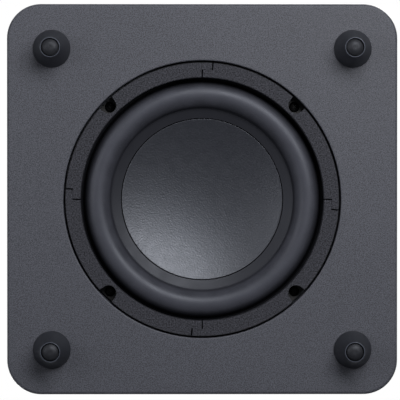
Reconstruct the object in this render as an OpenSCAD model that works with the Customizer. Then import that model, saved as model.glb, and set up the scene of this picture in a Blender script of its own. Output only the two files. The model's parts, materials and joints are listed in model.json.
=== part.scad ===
// Down-firing powered bass speaker: a tall square cabinet on four cone feet. The driver is sunk into the
// underside behind a flush trim ring. A flared port is high on the rear face, with the amplifier plate
// below it.
// Millimetres, +Z up. The origin is on the floor under the middle of the cabinet.
// The front face is towards -Y, the rear face towards +Y and the right-hand side towards +X.

/* [Cabinet] */
// Width and depth of the square cabinet
cabinet_w = 240; // [238:1:256]
// Height of the cabinet without its feet
cabinet_h = 355; // [345:1:400]
// Radius of the four upright corners
corner_r = 21; // [17:1:26]
// Radius of the rounding along the bottom and top edges
edge_r = 2; // [1:0.5:4]
// Thickness of the four side walls
wall_t = 12; // [11:0.5:13]
// Thickness of the bottom baffle
baffle_t = 24; // [22:1:28]
// Thickness of the top panel
top_t = 15; // [12:1:20]

/* [Feet] */
// Height of a foot, from the floor to the baffle
foot_h = 24; // [22:1:30]
// Radius of a foot where it meets the baffle
foot_base_r = 11.7; // [11:0.1:13]
// Radius of a foot at its tip
foot_tip_r = 6.1; // [6:0.1:8]
// Distance between neighbouring feet, centre to centre
foot_pitch = 185; // [182:1:190]
// Radius of the rubber pad in a foot's tip
foot_pad_r = 5.2; // [4.8:0.1:5.6]

/* [Trim ring] */
// Outer radius of the trim ring
trim_outer_r = 84.2; // [84.2:0.1:85]
// Inner radius of the trim ring
trim_inner_r = 74.8; // [74:0.1:75.5]
// Radius of the step in the lap joints between segments
trim_lap_r = 79.7; // [79:0.1:80.4]
// Thickness of the trim ring, which is also how far the driver is sunk into the baffle
trim_t = 10.5; // [9:0.5:11]
// Turn from a segment's inner half to its outer half, in degrees
trim_lap_turn = 4.5; // [3:0.5:8]
// Width of the open line between two segments
trim_joint = 0.8; // [0.3:0.1:1]
// Width of the line along the step of a lap joint
lap_gap = 0.1; // [0.1:0.1:0.4]
// Radius of the round inner end of the notch at each driver screw
notch_r = 4.8; // [4.4:0.1:5]
// Angle at which the two sides of a notch open outwards
notch_flare = 10; // [5:1:14]

/* [Driver] */
// Radius of the circle that the driver screws stand on
screw_circle_r = 80.5; // [80:0.1:80.8]
// Radius of the surround's half roll, over its outside
roll_r = 8.3; // [7.6:0.1:8.4]
// Radius of the circle along the crest of the half roll
roll_crest_r = 64.7; // [64.2:0.1:64.8]
// Radius of the part of the dished diaphragm that shows inside the surround
dish_r = 50.2; // [49:0.1:50.4]
// Depth of the dish, from its rim under the surround to its centre
dish_depth = 10.5; // [7:0.5:12]
// Inner radius of the voice-coil former
coil_r = 15.6; // [15.2:0.1:16]
// Radius of the magnet
magnet_r = 45; // [42:1:46]
// Thickness of the magnet
magnet_t = 16; // [15:1:20]

/* [Port] */
// Inner radius of the port tube
port_r = 26; // [22:1:28]
// Length of the port tube
port_len = 150; // [100:5:180]
// Radius of the flare at the mouth of the port
port_flare = 10; // [8:1:12]
// Height of the port's axis above the floor
port_z = 305; // [295:1:308]

/* [Amplifier] */
// Width of the amplifier plate
plate_w = 160; // [156:1:164]
// Height of the amplifier plate
plate_h = 150; // [148:1:156]
// Height of the middle of the plate above the floor
plate_z = 150; // [148:1:154]
// Travel of the pairing button
button_travel = 0.8; // [0.4:0.1:0.8]

/* [Hidden] */

$fn = 96;
smooth = 360; // facets on large, shallow arcs
over = 1; // how far a cutter runs past the face it cuts

cabinet_grey = [0.25, 0.26, 0.28];
trim_grey = [0.19, 0.19, 0.20];
rubber_black = [0.08, 0.08, 0.08];
dish_grey = [0.20, 0.21, 0.22];
plastic_black = [0.11, 0.11, 0.12];
board_green = [0.10, 0.32, 0.18];

// Heights of the driver's layers, counted up from the floor
face_z = foot_h;
flange_z = face_z + trim_t;
flange_t = 5;
land_t = 0.8; // thickness of the surround's rubber
land_back_z = flange_z + land_t;
seat_depth = 1.5; // how much deeper than the roll's foot the surround's outer land sits in the flange
seat_back_z = land_back_z + seat_depth;
gasket_z = flange_z + flange_t;
driver_gasket_t = 0.8;
rebate_floor_z = gasket_z + driver_gasket_t;
rebate_gap = 1.1;
rebate_r = trim_outer_r + rebate_gap;
driver_hole_r = 74;
baffle_top_z = face_z + baffle_t;
cabinet_top_z = face_z + cabinet_h;

// Feet: the rubber pad's seat, and the screw above it that holds the foot
pad_proud = 0.6;
pad_play = 0.25;
pad_seat_z = 3.1;
foot_screw_seat_z = pad_seat_z + 3;
foot_head_h = 2.4;
foot_head_r = 3.6;
foot_screw_grip = 12;

// Driver screws and the counterbored holes they stand in
screw_head_r = 3;
screw_head_h = 2.2;
screw_shank_r = 1.9;
screw_hole_r = 2.2;
counterbore_r = 3.3;
counterbore_depth = 3.4;
screw_seat_z = flange_z + counterbore_depth;
screw_end_z = baffle_top_z - 2;
pilot_clearance = 0.05;
drive_r = 1.5; // half width of the socket in a screw head
drive_depth = 1.2;
notch_centre_r = screw_circle_r + 1;

// Basket: flange, spoked wall, spider shelf and the cup that carries the motor
land_step_r = 77;
basket_bore_r = 71;
shelf_front_z = flange_z + 36.5;
shelf_inner_r = 38;
shelf_outer_r = 51;
casting_t = 2.2;
cup_floor_z = shelf_front_z + 18;
spoke_count = 6;
spoke_turn = 16;

// Diaphragm and coil. The dish is part of a sphere whose centre is below it, at dish_centre_z.
cone_t = 0.8;
dish_rim_r = roll_crest_r - roll_r + land_t;
dish_sphere_r = (dish_rim_r * dish_rim_r + dish_depth * dish_depth) / (2 * dish_depth);
dish_centre_z = land_back_z + dish_depth - dish_sphere_r;
former_t = 0.25;
former_r = coil_r + former_t;
coil_outer_r = former_r + 1.15;
coil_len = 18;
neck_z = flange_z + 27;
neck_h = 6;

// Motor
top_plate_t = 6;
gap_z = cup_floor_z + top_plate_t / 2;
magnet_z = cup_floor_z + top_plate_t;
yoke_z = magnet_z + magnet_t;
yoke_t = 6;
plate_r = 40;
gap_outer_r = coil_outer_r + 0.6;
pole_r = coil_r - 0.4;
vent_r = 4;
former_end_z = gap_z + coil_len / 2 + 0.5;

// Spider
spider_t = 0.6;
spider_z = shelf_front_z - spider_t / 2;
spider_wave_r = 2.1;
spider_half_waves = 5;
spider_land_r = 41;
spider_outer_r = 49;

// Terminals and leads at the rear side of the basket
lead_x = 7;
terminal_y = 55.5;
strip_t = 1.6;
strip_z = shelf_front_z + casting_t;
lead_r = 0.8;
lead_bend_r = 10;
lead_low_z = flange_z + 20.5;

// Port and wadding
port_t = 2.5;
port_flange_r = port_r + port_flare + 7;
wadding_t = 20;
wadding_w = 180;
wadding_h = 200;
wadding_z = 130;

// Amplifier plate, measured inwards from the rear face of the cabinet
plate_t = 4;
field_depth = 1.5;
rim_w = 10;
plate_corner_r = 8;
amp_gasket_t = 1;
plate_clearance = 0.3;
amp_rebate = plate_t + amp_gasket_t;
opening_w = plate_w - 2 * rim_w;
opening_h = plate_h - 2 * rim_w;
boss_end = 16;
boss_r = 4;
board_t = 1.6;
board_back = boss_end + board_t;
board_x = -13;
board_w = 98;
board_h = 112;
board_screw_x = 43;
board_screw_y = 48;
inlet_x = 53;
inlet_y = -42;
pin_pitch = 8.6;
pin_r = 1.2;
socket_r = 4.2;
socket_floor = 13.5;
inlet_back = 20;
inlet_w = 25;
inlet_h = 17;
button_x = -30;
lens_x = -46;
control_y = 46;
button_r = 3.5;
button_top = field_depth - 0.8;
stem_end = 11.4;
switch_top = 12.5;
plunger_r = 1.7;
lens_r = 1.5;
plug_y = -52;
plug_back = board_back + 10;
amp_screw_r = 1.6;
amp_head_r = 3.2;
amp_head_h = 2;
amp_seat = 2.2;
amp_screw_end = wall_t - 1;
amp_hole_r = 1.9;
board_screw_r = 1.2;
board_head_r = 2.6;
board_head_h = 2;
transformer_x = 6;
transformer_y = -30;
radio_x = 12;
radio_y = 38;
radio_gap = 7; // height of the radio board above the main board

// Ring from r_in to r_out, standing on z = 0
module ring(r_in, r_out, h) {
    difference() {
        cylinder(r = r_out, h = h);
        translate([0, 0, -over]) cylinder(r = r_in, h = h + 2 * over);
    }
}

// Square with round corners, centred
module rounded_square(w, h, r) {
    square([w - 2 * r, h], center = true);
    square([w, h - 2 * r], center = true);
    for (x = [-1, 1], y = [-1, 1])
        translate([x * (w / 2 - r), y * (h / 2 - r)]) circle(r = r);
}

// Upright profile of a slab's edge: r wide, h tall, rounded by e at its bottom outer corner
module edge_profile(r, h, e) {
    difference() {
        square([r, h]);
        difference() {
            translate([r - e, 0]) square([e, e]);
            translate([r - e, e]) circle(r = e);
        }
    }
}

// Square slab of width w standing on z = 0, with corner radius r and bottom edges rounded by e.
// It is built from a middle block, four side strips and four corner pieces that meet on flat faces.
module slab(w, r, h, e) {
    inner = w - 2 * r;
    translate([-inner / 2, -inner / 2, 0]) cube([inner, inner, h]);
    for (turn = [0 : 90 : 270]) rotate([0, 0, turn]) {
        translate([-inner / 2, inner / 2, 0]) rotate([90, 0, 90])
            linear_extrude(inner) edge_profile(r, h, e);
        translate([inner / 2, inner / 2, 0]) rotate_extrude(angle = 90) edge_profile(r, h, e);
    }
}

// Places its children at the four driver screws
module at_driver_screws() {
    for (turn = [45 : 90 : 315]) rotate([0, 0, turn]) translate([screw_circle_r, 0, 0]) children();
}

// Places its children at the foot on side sx, sy
module at_foot(sx, sy) {
    translate([sx * foot_pitch / 2, sy * foot_pitch / 2, 0]) children();
}

module at_feet() {
    for (sx = [-1, 1], sy = [-1, 1]) at_foot(sx, sy) children();
}

// Plate coordinates: x stays, y points up from the plate's middle, z is the depth in from the rear face
module on_rear(z = plate_z) {
    translate([0, cabinet_w / 2, z]) rotate([90, 0, 0]) children();
}

// Places its children at the eight screws along the rim of the amplifier plate
module at_plate_screws() {
    for (x = [-1, 0, 1], y = [-1, 0, 1])
        if (x != 0 || y != 0)
            translate([x * (plate_w - rim_w) / 2, y * (plate_h - rim_w) / 2, 0]) children();
}

module at_board_screws() {
    for (x = [-1, 1], y = [-1, 1])
        translate([board_x + x * board_screw_x, y * board_screw_y, 0]) children();
}

// Round wire of radius r through the given points, with slightly fuller balls at the bends
module wire(points, r) {
    for (i = [0 : len(points) - 2]) {
        step = points[i + 1] - points[i];
        run = norm(step);
        translate(points[i]) rotate([0, acos(step.z / run), atan2(step.y, step.x)])
            cylinder(r = r, h = run, $fn = 24);
        if (i > 0) translate(points[i]) sphere(r = 1.08 * r, $fn = 24);
    }
}

// ---------- Cabinet ----------

module bottom_baffle() {
    color(cabinet_grey) difference() {
        translate([0, 0, face_z]) slab(cabinet_w, corner_r, baffle_t, edge_r);
        translate([0, 0, face_z - over]) cylinder(r = rebate_r, h = rebate_floor_z - face_z + over);
        translate([0, 0, face_z - over]) cylinder(r = driver_hole_r, h = baffle_t + 2 * over);
        at_driver_screws() translate([0, 0, rebate_floor_z - over])
            cylinder(r = screw_shank_r + pilot_clearance, h = screw_end_z - rebate_floor_z + 1.4, $fn = 32);
        at_feet() translate([0, 0, face_z - over])
            cylinder(r = screw_shank_r + pilot_clearance, h = foot_screw_grip + 0.5 + over, $fn = 32);
    }
}

module cabinet_sleeve() {
    sleeve_h = cabinet_h - baffle_t - top_t;
    inner_w = cabinet_w - 2 * wall_t;
    color(cabinet_grey) difference() {
        translate([0, 0, baffle_top_z]) linear_extrude(sleeve_h) difference() {
            rounded_square(cabinet_w, cabinet_w, corner_r);
            rounded_square(inner_w, inner_w, corner_r - wall_t);
        }
        // rebate, opening and screw pilots for the amplifier plate
        on_rear() {
            translate([0, 0, -over]) linear_extrude(amp_rebate + over)
                rounded_square(plate_w + plate_clearance, plate_h + plate_clearance, plate_corner_r);
            translate([0, 0, -over]) linear_extrude(wall_t + 2 * over)
                rounded_square(opening_w, opening_h, plate_corner_r / 2);
            at_plate_screws() translate([0, 0, amp_rebate - over])
                cylinder(r = amp_screw_r + pilot_clearance, h = amp_screw_end + 0.3 - amp_rebate + over,
                         $fn = 32);
        }
        // rebate and hole for the port's flange and flare
        on_rear(port_z) {
            translate([0, 0, -over]) cylinder(r = port_flange_r + plate_clearance, h = port_t + over);
            translate([0, 0, -over])
                cylinder(r = port_r + port_flare + plate_clearance, h = wall_t + 2 * over);
        }
    }
}

module top_panel() {
    color(cabinet_grey) translate([0, 0, cabinet_top_z]) mirror([0, 0, 1])
        slab(cabinet_w, corner_r, top_t, edge_r);
}

// Profile of the port: radius along x, depth in from the rear face along y
module port_profile() {
    translate([port_r, port_flare]) square([port_t, port_len - port_flare]);
    intersection() {
        translate([port_r + port_flare, port_flare]) difference() {
            circle(r = port_flare);
            circle(r = port_flare - port_t);
        }
        translate([port_r, 0]) square(port_flare);
    }
    translate([port_r + port_flare, 0]) square([port_flange_r - port_r - port_flare, port_t]);
}

module port_tube() {
    color(plastic_black) on_rear(port_z) rotate_extrude() port_profile();
}

// Fibre blanket along the inside of the front wall
module acoustic_wadding() {
    wall_face = -cabinet_w / 2 + wall_t + 0.5;
    color("gainsboro") translate([-wadding_w / 2, wall_face, wadding_z])
        cube([wadding_w, wadding_t, wadding_h]);
}

// ---------- Feet ----------

module foot() {
    color(cabinet_grey) difference() {
        translate([0, 0, pad_proud]) cylinder(r1 = foot_tip_r, r2 = foot_base_r, h = foot_h - pad_proud);
        translate([0, 0, -over]) cylinder(r = foot_pad_r + pad_play, h = pad_seat_z + over);
        translate([0, 0, -over]) cylinder(r = foot_head_r + 0.3, h = foot_screw_seat_z + over);
        translate([0, 0, -over]) cylinder(r = screw_hole_r, h = foot_h + 2 * over, $fn = 32);
    }
}

// Rubber pad with a flat face on the floor and a bevelled edge
module foot_pad() {
    bevel = 0.6;
    color(rubber_black) {
        translate([0, 0, bevel]) cylinder(r = foot_pad_r, h = pad_seat_z - bevel);
        cylinder(r1 = foot_pad_r - 1.4, r2 = foot_pad_r, h = bevel);
    }
}

module foot_front_left() { at_foot(-1, -1) foot(); }
module foot_front_right() { at_foot(1, -1) foot(); }
module foot_rear_left() { at_foot(-1, 1) foot(); }
module foot_rear_right() { at_foot(1, 1) foot(); }
module foot_pad_front_left() { at_foot(-1, -1) foot_pad(); }
module foot_pad_front_right() { at_foot(1, -1) foot_pad(); }
module foot_pad_rear_left() { at_foot(-1, 1) foot_pad(); }
module foot_pad_rear_right() { at_foot(1, 1) foot_pad(); }

// Pan-head screw along +Z: the head's bearing face is at z = 0, and its square socket opens towards -Z
module screw(head_r, head_h, shank_r, shank_h) {
    difference() {
        translate([0, 0, -head_h]) cylinder(r = head_r, h = head_h, $fn = 48);
        translate([-drive_r / 2, -drive_r / 2, -head_h - over]) cube([drive_r, drive_r, drive_depth + over]);
    }
    cylinder(r = shank_r, h = shank_h, $fn = 32);
}

module foot_screws() {
    color("dimgray") at_feet() translate([0, 0, foot_screw_seat_z])
        screw(foot_head_r, foot_head_h, screw_shank_r, foot_h - foot_screw_seat_z + foot_screw_grip);
}

// ---------- Trim ring ----------

// Wedge from angle a to angle b, less than 180 degrees apart, reaching past the trim ring
module wedge(a, b) {
    reach = 2 * trim_outer_r;
    middle = (a + b) / 2;
    polygon([[0, 0], reach * [cos(a), sin(a)], reach * [cos(middle), sin(middle)],
             reach * [cos(b), sin(b)]]);
}

module flat_ring(r_in, r_out) {
    difference() {
        circle(r = r_out, $fn = smooth);
        circle(r = r_in, $fn = smooth);
    }
}

// Cut-out round a driver screw: a round end with two straight sides that flare towards the outer edge.
// The sides start a little inside the round end, so that they cross it instead of touching it.
module notch() {
    side_r = notch_r - 0.1;
    side_x = notch_centre_r - side_r * sin(notch_flare);
    side_y = side_r * cos(notch_flare);
    mouth_x = trim_outer_r + over;
    mouth_y = side_y + (mouth_x - side_x) * tan(notch_flare);
    translate([notch_centre_r, 0]) circle(r = notch_r);
    polygon([[side_x, -side_y], [mouth_x, -mouth_y], [mouth_x, mouth_y], [side_x, side_y]]);
}

// One of four equal segments. It starts at angle start on its inner half; its outer half is turned on,
// so neighbouring segments overlap like the halves of a scarf joint.
module trim_segment(start) {
    slack = asin(trim_joint / 2 / trim_lap_r);
    stop = start + 90;
    color(trim_grey) translate([0, 0, face_z]) linear_extrude(trim_t) difference() {
        union() {
            intersection() {
                flat_ring(trim_inner_r, trim_lap_r);
                wedge(start + slack, stop - slack);
            }
            intersection() {
                flat_ring(trim_lap_r, trim_outer_r);
                wedge(start + trim_lap_turn + slack, stop + trim_lap_turn - slack);
            }
        }
        // clearance along the step, on the half that faces the neighbour
        intersection() {
            flat_ring(trim_lap_r - lap_gap / 2, trim_lap_r + over);
            wedge(start - trim_lap_turn, start + trim_lap_turn + slack);
        }
        intersection() {
            flat_ring(trim_lap_r - over, trim_lap_r + lap_gap / 2);
            wedge(stop - slack, stop + 2 * trim_lap_turn);
        }
        rotate([0, 0, start + 45]) notch();
    }
}

module trim_segment_right() { trim_segment(-90); }
module trim_segment_rear() { trim_segment(0); }
module trim_segment_left() { trim_segment(90); }
module trim_segment_front() { trim_segment(180); }

// ---------- Driver ----------

module driver_gasket() {
    color("dimgray") difference() {
        translate([0, 0, gasket_z]) ring(driver_hole_r + 2, trim_outer_r, driver_gasket_t);
        at_driver_screws() translate([0, 0, gasket_z - over])
            cylinder(r = screw_hole_r, h = driver_gasket_t + 2 * over, $fn = 32);
    }
}

module driver_screws() {
    color("black") at_driver_screws() translate([0, 0, screw_seat_z])
        screw(screw_head_r, screw_head_h, screw_shank_r, screw_end_z - screw_seat_z);
}

// Cast frame in one turned profile: flange, sloping wall, spider shelf, cup and cup floor
module basket_profile() {
    wall_top_z = gasket_z + 4;
    shelf_back_z = shelf_front_z + casting_t;
    cup_r = shelf_inner_r + casting_t;
    polygon([
        [trim_outer_r, flange_z], [trim_outer_r, gasket_z], [basket_bore_r + casting_t, gasket_z],
        [basket_bore_r + casting_t - 1, wall_top_z], [shelf_outer_r + casting_t, shelf_front_z - 2],
        [shelf_outer_r + casting_t, shelf_back_z], [cup_r, shelf_back_z], [cup_r, cup_floor_z],
        [cup_r - 15, cup_floor_z], [cup_r - 15, cup_floor_z - casting_t],
        [shelf_inner_r, cup_floor_z - casting_t], [shelf_inner_r, shelf_front_z],
        [shelf_outer_r, shelf_front_z], [shelf_outer_r, shelf_front_z - 3],
        [basket_bore_r - 1, wall_top_z - 1], [basket_bore_r, seat_back_z],
        [land_step_r, seat_back_z], [land_step_r, flange_z]
    ]);
}

module basket() {
    window_turn = 360 / spoke_count - spoke_turn;
    window_z = gasket_z + 5;
    color(plastic_black) difference() {
        rotate_extrude() basket_profile();
        for (i = [0 : spoke_count - 1]) rotate([0, 0, i * 360 / spoke_count + spoke_turn / 2]) {
            rotate_extrude(angle = window_turn) translate([shelf_outer_r - 6, window_z])
                square([40, shelf_front_z - 4 - window_z]);
            rotate_extrude(angle = window_turn) translate([shelf_inner_r - 2, shelf_front_z + 4])
                square([10, 10]);
        }
        at_driver_screws() {
            translate([0, 0, flange_z - over])
                cylinder(r = counterbore_r, h = counterbore_depth + over, $fn = 48);
            translate([0, 0, flange_z - over])
                cylinder(r = screw_hole_r, h = flange_t + 2 * over, $fn = 32);
        }
    }
}

// Part of a spherical shell of the dish, as a profile: from sphere radius r to r + t, between the
// distances from and to of the axis
module dish_layer(r, t, from, to) {
    intersection() {
        translate([0, dish_centre_z]) difference() {
            circle(r = r + t, $fn = smooth);
            circle(r = r, $fn = smooth);
        }
        translate([from, flange_z - 1]) square([to - from, 2 * dish_depth]);
    }
}

// Rubber edge: an outer land sunk into the flange, one half roll that stands on it, and an inner land
// glued to the dish
module surround() {
    roll_inner = roll_r - land_t;
    color(rubber_black) rotate_extrude() {
        intersection() {
            translate([roll_crest_r, land_back_z]) difference() {
                circle(r = roll_r);
                circle(r = roll_inner);
            }
            translate([roll_crest_r - roll_r, land_back_z - 2 * roll_r]) square([2 * roll_r, 2 * roll_r]);
        }
        translate([roll_crest_r + roll_inner, land_back_z]) square([land_t, seat_depth]);
        translate([roll_crest_r + roll_inner, seat_back_z - land_t])
            square([land_step_r - 0.2 - roll_crest_r - roll_inner, land_t]);
        dish_layer(dish_sphere_r - land_t, land_t, dish_r, dish_rim_r);
    }
}

// Dished diaphragm. The surround's inner land is glued over its outermost part.
module cone() {
    color(dish_grey) rotate_extrude() dish_layer(dish_sphere_r, cone_t, 0, dish_rim_r);
}

// Paper cone that stiffens the dish: a flange behind its rim, a straight wall and a neck round the former
module cone_body() {
    neck_r = former_r + 0.05;
    back_r = dish_sphere_r + cone_t + 0.05;
    wall_start_r = dish_r + 1;
    wall_start_z = dish_centre_z + sqrt(pow(back_r, 2) - wall_start_r * wall_start_r) + cone_t / 2;
    color("darkslategray") rotate_extrude() {
        dish_layer(back_r, cone_t, wall_start_r - 1, dish_rim_r - 1.5);
        polygon([
            [wall_start_r - 0.8, wall_start_z], [wall_start_r + 0.4, wall_start_z],
            [neck_r + cone_t, neck_z], [neck_r + cone_t, neck_z + neck_h],
            [neck_r, neck_z + neck_h], [neck_r, neck_z - 0.5]
        ]);
    }
}

module voice_coil_former() {
    front_z = dish_centre_z + sqrt(pow(dish_sphere_r + cone_t, 2) - coil_r * coil_r) + 0.1;
    color("peru") translate([0, 0, front_z]) ring(coil_r, former_r, former_end_z - front_z);
}

module voice_coil() {
    color("darkorange") translate([0, 0, gap_z - coil_len / 2])
        ring(former_r + 0.02, coil_outer_r, coil_len);
}

// Corrugated cloth disc: an outer land on the shelf, a run of half waves and a collar at the former
module spider() {
    half_t = spider_t / 2;
    inner_r = former_r + 0.05;
    waves_end_r = spider_land_r - spider_half_waves * 2 * spider_wave_r;
    color("goldenrod") rotate_extrude() {
        translate([spider_land_r - half_t, spider_z - half_t])
            square([spider_outer_r - spider_land_r + half_t, spider_t]);
        translate([inner_r, spider_z - half_t]) square([waves_end_r + half_t - inner_r, spider_t]);
        translate([inner_r, spider_z]) square([spider_t, 2.5]);
        for (i = [0 : spider_half_waves - 1]) {
            side = i % 2 == 0 ? -1 : 0;
            translate([spider_land_r - (2 * i + 1) * spider_wave_r, spider_z]) intersection() {
                difference() {
                    circle(r = spider_wave_r + half_t);
                    circle(r = spider_wave_r - half_t);
                }
                translate([-2 * spider_wave_r, side * 2 * spider_wave_r]) square([4 * spider_wave_r,
                                                                                   2 * spider_wave_r]);
            }
        }
    }
}

module top_plate() {
    color("silver") translate([0, 0, cup_floor_z]) ring(gap_outer_r, plate_r, top_plate_t);
}

module magnet() {
    color("darkgray") translate([0, 0, magnet_z]) ring(gap_outer_r + 4.4, magnet_r, magnet_t);
}

module t_yoke() {
    pole_z = cup_floor_z - 2;
    color("silver") difference() {
        union() {
            translate([0, 0, pole_z]) cylinder(r = pole_r, h = yoke_z - pole_z + over);
            translate([0, 0, yoke_z]) cylinder(r = plate_r, h = yoke_t);
        }
        translate([0, 0, pole_z - over]) cylinder(r = vent_r, h = yoke_z + yoke_t - pole_z + 2 * over);
    }
}

// Phenolic strip on the back of the spider shelf
module terminal_strip() {
    color("saddlebrown") translate([-12, shelf_outer_r - 7, strip_z]) cube([24, 13, strip_t]);
}

module terminal_lugs() {
    color("gold") for (side = [-1, 1])
        translate([side * lead_x - 1.5, shelf_outer_r - 1, strip_z + strip_t]) cube([3, 0.8, 7]);
}

// Braided leads from the strip, through a basket window, to the back of the cone
module tinsel_leads() {
    drop_h = strip_z - 0.1 - lead_low_z - lead_bend_r;
    run = 17.5;
    color("sandybrown") for (side = [-1, 1]) translate([side * lead_x, 0, lead_low_z]) {
        translate([0, terminal_y, lead_bend_r]) cylinder(r = lead_r, h = drop_h, $fn = 24);
        translate([0, terminal_y - lead_bend_r, lead_bend_r]) rotate([90, 90, 90])
            rotate_extrude(angle = 90) translate([lead_bend_r, 0]) circle(r = lead_r, $fn = 24);
        translate([0, terminal_y - lead_bend_r, 0]) rotate([90, 0, 0])
            cylinder(r = lead_r, h = run, $fn = 24);
    }
}

// ---------- Wiring between driver and amplifier ----------

module speaker_cable() {
    start_z = strip_z + strip_t + 7.2;
    plug_z = plate_z + plug_y;
    plug_y_end = cabinet_w / 2 - plug_back - 0.3;
    color("firebrick") for (side = [-1, 1]) wire([
        [side * lead_x, shelf_outer_r - 0.6, start_z], [side * lead_x, shelf_outer_r - 0.6, start_z + 6],
        [side * lead_x / 2, shelf_outer_r + 14, plug_z - 4], [side * lead_x / 2, plug_y_end, plug_z]
    ], 1.1);
}

module cable_plug() {
    color("ivory") on_rear() translate([-8, plug_y - 3, board_back]) cube([16, 6, plug_back - board_back]);
}

// ---------- Amplifier ----------

module amp_plate() {
    color(plastic_black) on_rear() difference() {
        union() {
            linear_extrude(plate_t) rounded_square(plate_w, plate_h, plate_corner_r);
            at_board_screws() translate([0, 0, plate_t - over])
                cylinder(r = boss_r, h = boss_end - plate_t + over);
        }
        // sunken field that keeps the controls behind the cabinet's face
        translate([0, 0, -over]) linear_extrude(field_depth + over)
            rounded_square(opening_w - 6, opening_h - 6, plate_corner_r - 2);
        at_plate_screws() {
            translate([0, 0, -over]) cylinder(r = amp_head_r + 0.3, h = amp_seat + over, $fn = 48);
            translate([0, 0, -over]) cylinder(r = amp_hole_r, h = plate_t + 2 * over, $fn = 32);
        }
        at_board_screws() translate([0, 0, boss_end - 9.5])
            cylinder(r = board_screw_r + pilot_clearance, h = 9.5 + over, $fn = 32);
        translate([inlet_x, inlet_y, -over]) linear_extrude(plate_t + 2 * over)
            square([inlet_w + 0.2, inlet_h + 0.2], center = true);
        translate([button_x, control_y, -over]) cylinder(r = button_r + 0.1, h = plate_t + 2 * over);
        translate([lens_x, control_y, -over])
            cylinder(r = lens_r + 0.05, h = plate_t + 2 * over, $fn = 32);
    }
}

module amp_gasket() {
    color("dimgray") on_rear() translate([0, 0, plate_t]) difference() {
        linear_extrude(amp_gasket_t) difference() {
            rounded_square(plate_w, plate_h, plate_corner_r);
            rounded_square(opening_w, opening_h, plate_corner_r / 2);
        }
        at_plate_screws() translate([0, 0, -over])
            cylinder(r = amp_hole_r, h = amp_gasket_t + 2 * over, $fn = 32);
    }
}

module amp_screws() {
    color("dimgray") on_rear() at_plate_screws() translate([0, 0, amp_seat])
        screw(amp_head_r, amp_head_h, amp_screw_r, amp_screw_end - amp_seat);
}

module main_board() {
    color(board_green) on_rear() difference() {
        translate([board_x - board_w / 2, -board_h / 2, boss_end]) cube([board_w, board_h, board_t]);
        at_board_screws() translate([0, 0, boss_end - over])
            cylinder(r = 1.5, h = board_t + 2 * over, $fn = 32);
    }
}

// These screws go in from the inside of the cabinet, so they point towards the plate
module board_screws() {
    color("silver") on_rear() at_board_screws() translate([0, 0, board_back]) mirror([0, 0, 1])
        screw(board_head_r, board_head_h, board_screw_r, board_t + 8);
}

// Comb of fins along X, standing on the board
module heat_sink() {
    fin_count = 6;
    fin_pitch = 5;
    sink_h = 30;
    color("silver") on_rear() translate([board_x - 35, -3, board_back]) {
        cube([70, 3, sink_h]);
        for (i = [0 : fin_count - 1]) translate([0, 0, 1 + i * fin_pitch]) cube([70, 18, 1.6]);
    }
}

module power_devices() {
    color(plastic_black) on_rear() for (i = [0 : 2])
        translate([board_x - 28 + i * 22, -7.6, board_back]) {
            translate([0, 0, 6]) cube([10, 4.5, 16]);
            for (leg = [0 : 2]) translate([1.7 + leg * 2.9, 1.6, 0]) cube([0.8, 0.6, 6 + over]);
        }
}

// E core: two outer legs and a middle leg between two yokes
module transformer_core() {
    core_w = 34;
    core_d = 14;
    core_h = 28;
    yoke = 6;
    color("dimgray") on_rear() translate([transformer_x - core_w / 2, transformer_y - core_d / 2,
                                          board_back]) difference() {
        cube([core_w, core_d, core_h]);
        for (x = [yoke, core_w / 2 + yoke / 2]) translate([x, -over, yoke])
            cube([(core_w - 3 * yoke) / 2, core_d + 2 * over, core_h - 2 * yoke]);
    }
}

module transformer_winding() {
    color("khaki") on_rear() translate([transformer_x, transformer_y, board_back + 6.2]) difference() {
        translate([-10.5, -13, 0]) cube([21, 26, 15.6]);
        translate([-3.1, -7.1, -over]) cube([6.2, 14.2, 15.6 + 2 * over]);
    }
}

module bulk_capacitors() {
    color("navy") on_rear() for (x = [-28, -52]) translate([x, -34, board_back]) {
        cylinder(r = 10.5, h = 34);
        translate([0, 0, 34]) cylinder(r = 9.5, h = 0.6);
    }
}

// Copper windings on drum cores
module output_coils() {
    color("chocolate") on_rear() for (x = [-24, -46]) translate([x, 32, board_back]) {
        cylinder(r = 10, h = 2);
        translate([0, 0, 2]) cylinder(r = 8.5, h = 10);
        translate([0, 0, 12]) cylinder(r = 10, h = 2);
    }
}

// Small board carried above the main board on a pin header
module radio_board() {
    color(board_green) on_rear() translate([radio_x, radio_y, board_back]) {
        translate([-17, -13, radio_gap]) cube([34, 26, 1]);
        for (i = [0 : 7]) translate([-14 + i * 3.6, -11, 0]) cube([0.8, 0.8, radio_gap + 0.5]);
    }
}

module radio_shield() {
    color("silver") on_rear() translate([radio_x - 12, radio_y - 6, board_back + radio_gap + 1])
        cube([16, 14, 2.4]);
}

// Folded metal strip aerial on the edge of the radio board
module antenna() {
    color("gold") on_rear() translate([radio_x + 8, radio_y + 2, board_back + radio_gap + 1]) {
        cube([0.6, 9, 5]);
        translate([0, 0, 4.4]) cube([7, 9, 0.6]);
    }
}

// Two-pin inlet: a figure-of-eight socket in a block with a flange behind the plate
module mains_inlet() {
    color("black") on_rear() translate([inlet_x, inlet_y, 0]) difference() {
        union() {
            translate([0, 0, field_depth]) linear_extrude(inlet_back - field_depth)
                square([inlet_w, inlet_h], center = true);
            translate([0, 0, plate_t]) linear_extrude(1.5)
                square([inlet_w + 4, inlet_h + 4], center = true);
        }
        translate([0, 0, field_depth - over]) linear_extrude(socket_floor - field_depth + over) {
            for (side = [-1, 1]) translate([side * pin_pitch / 2, 0]) circle(r = socket_r);
            square([pin_pitch, 5.4], center = true);
        }
        for (side = [-1, 1]) translate([side * pin_pitch / 2, 0, 0])
            cylinder(r = pin_r + 0.02, h = inlet_back + over, $fn = 32);
    }
}

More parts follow.
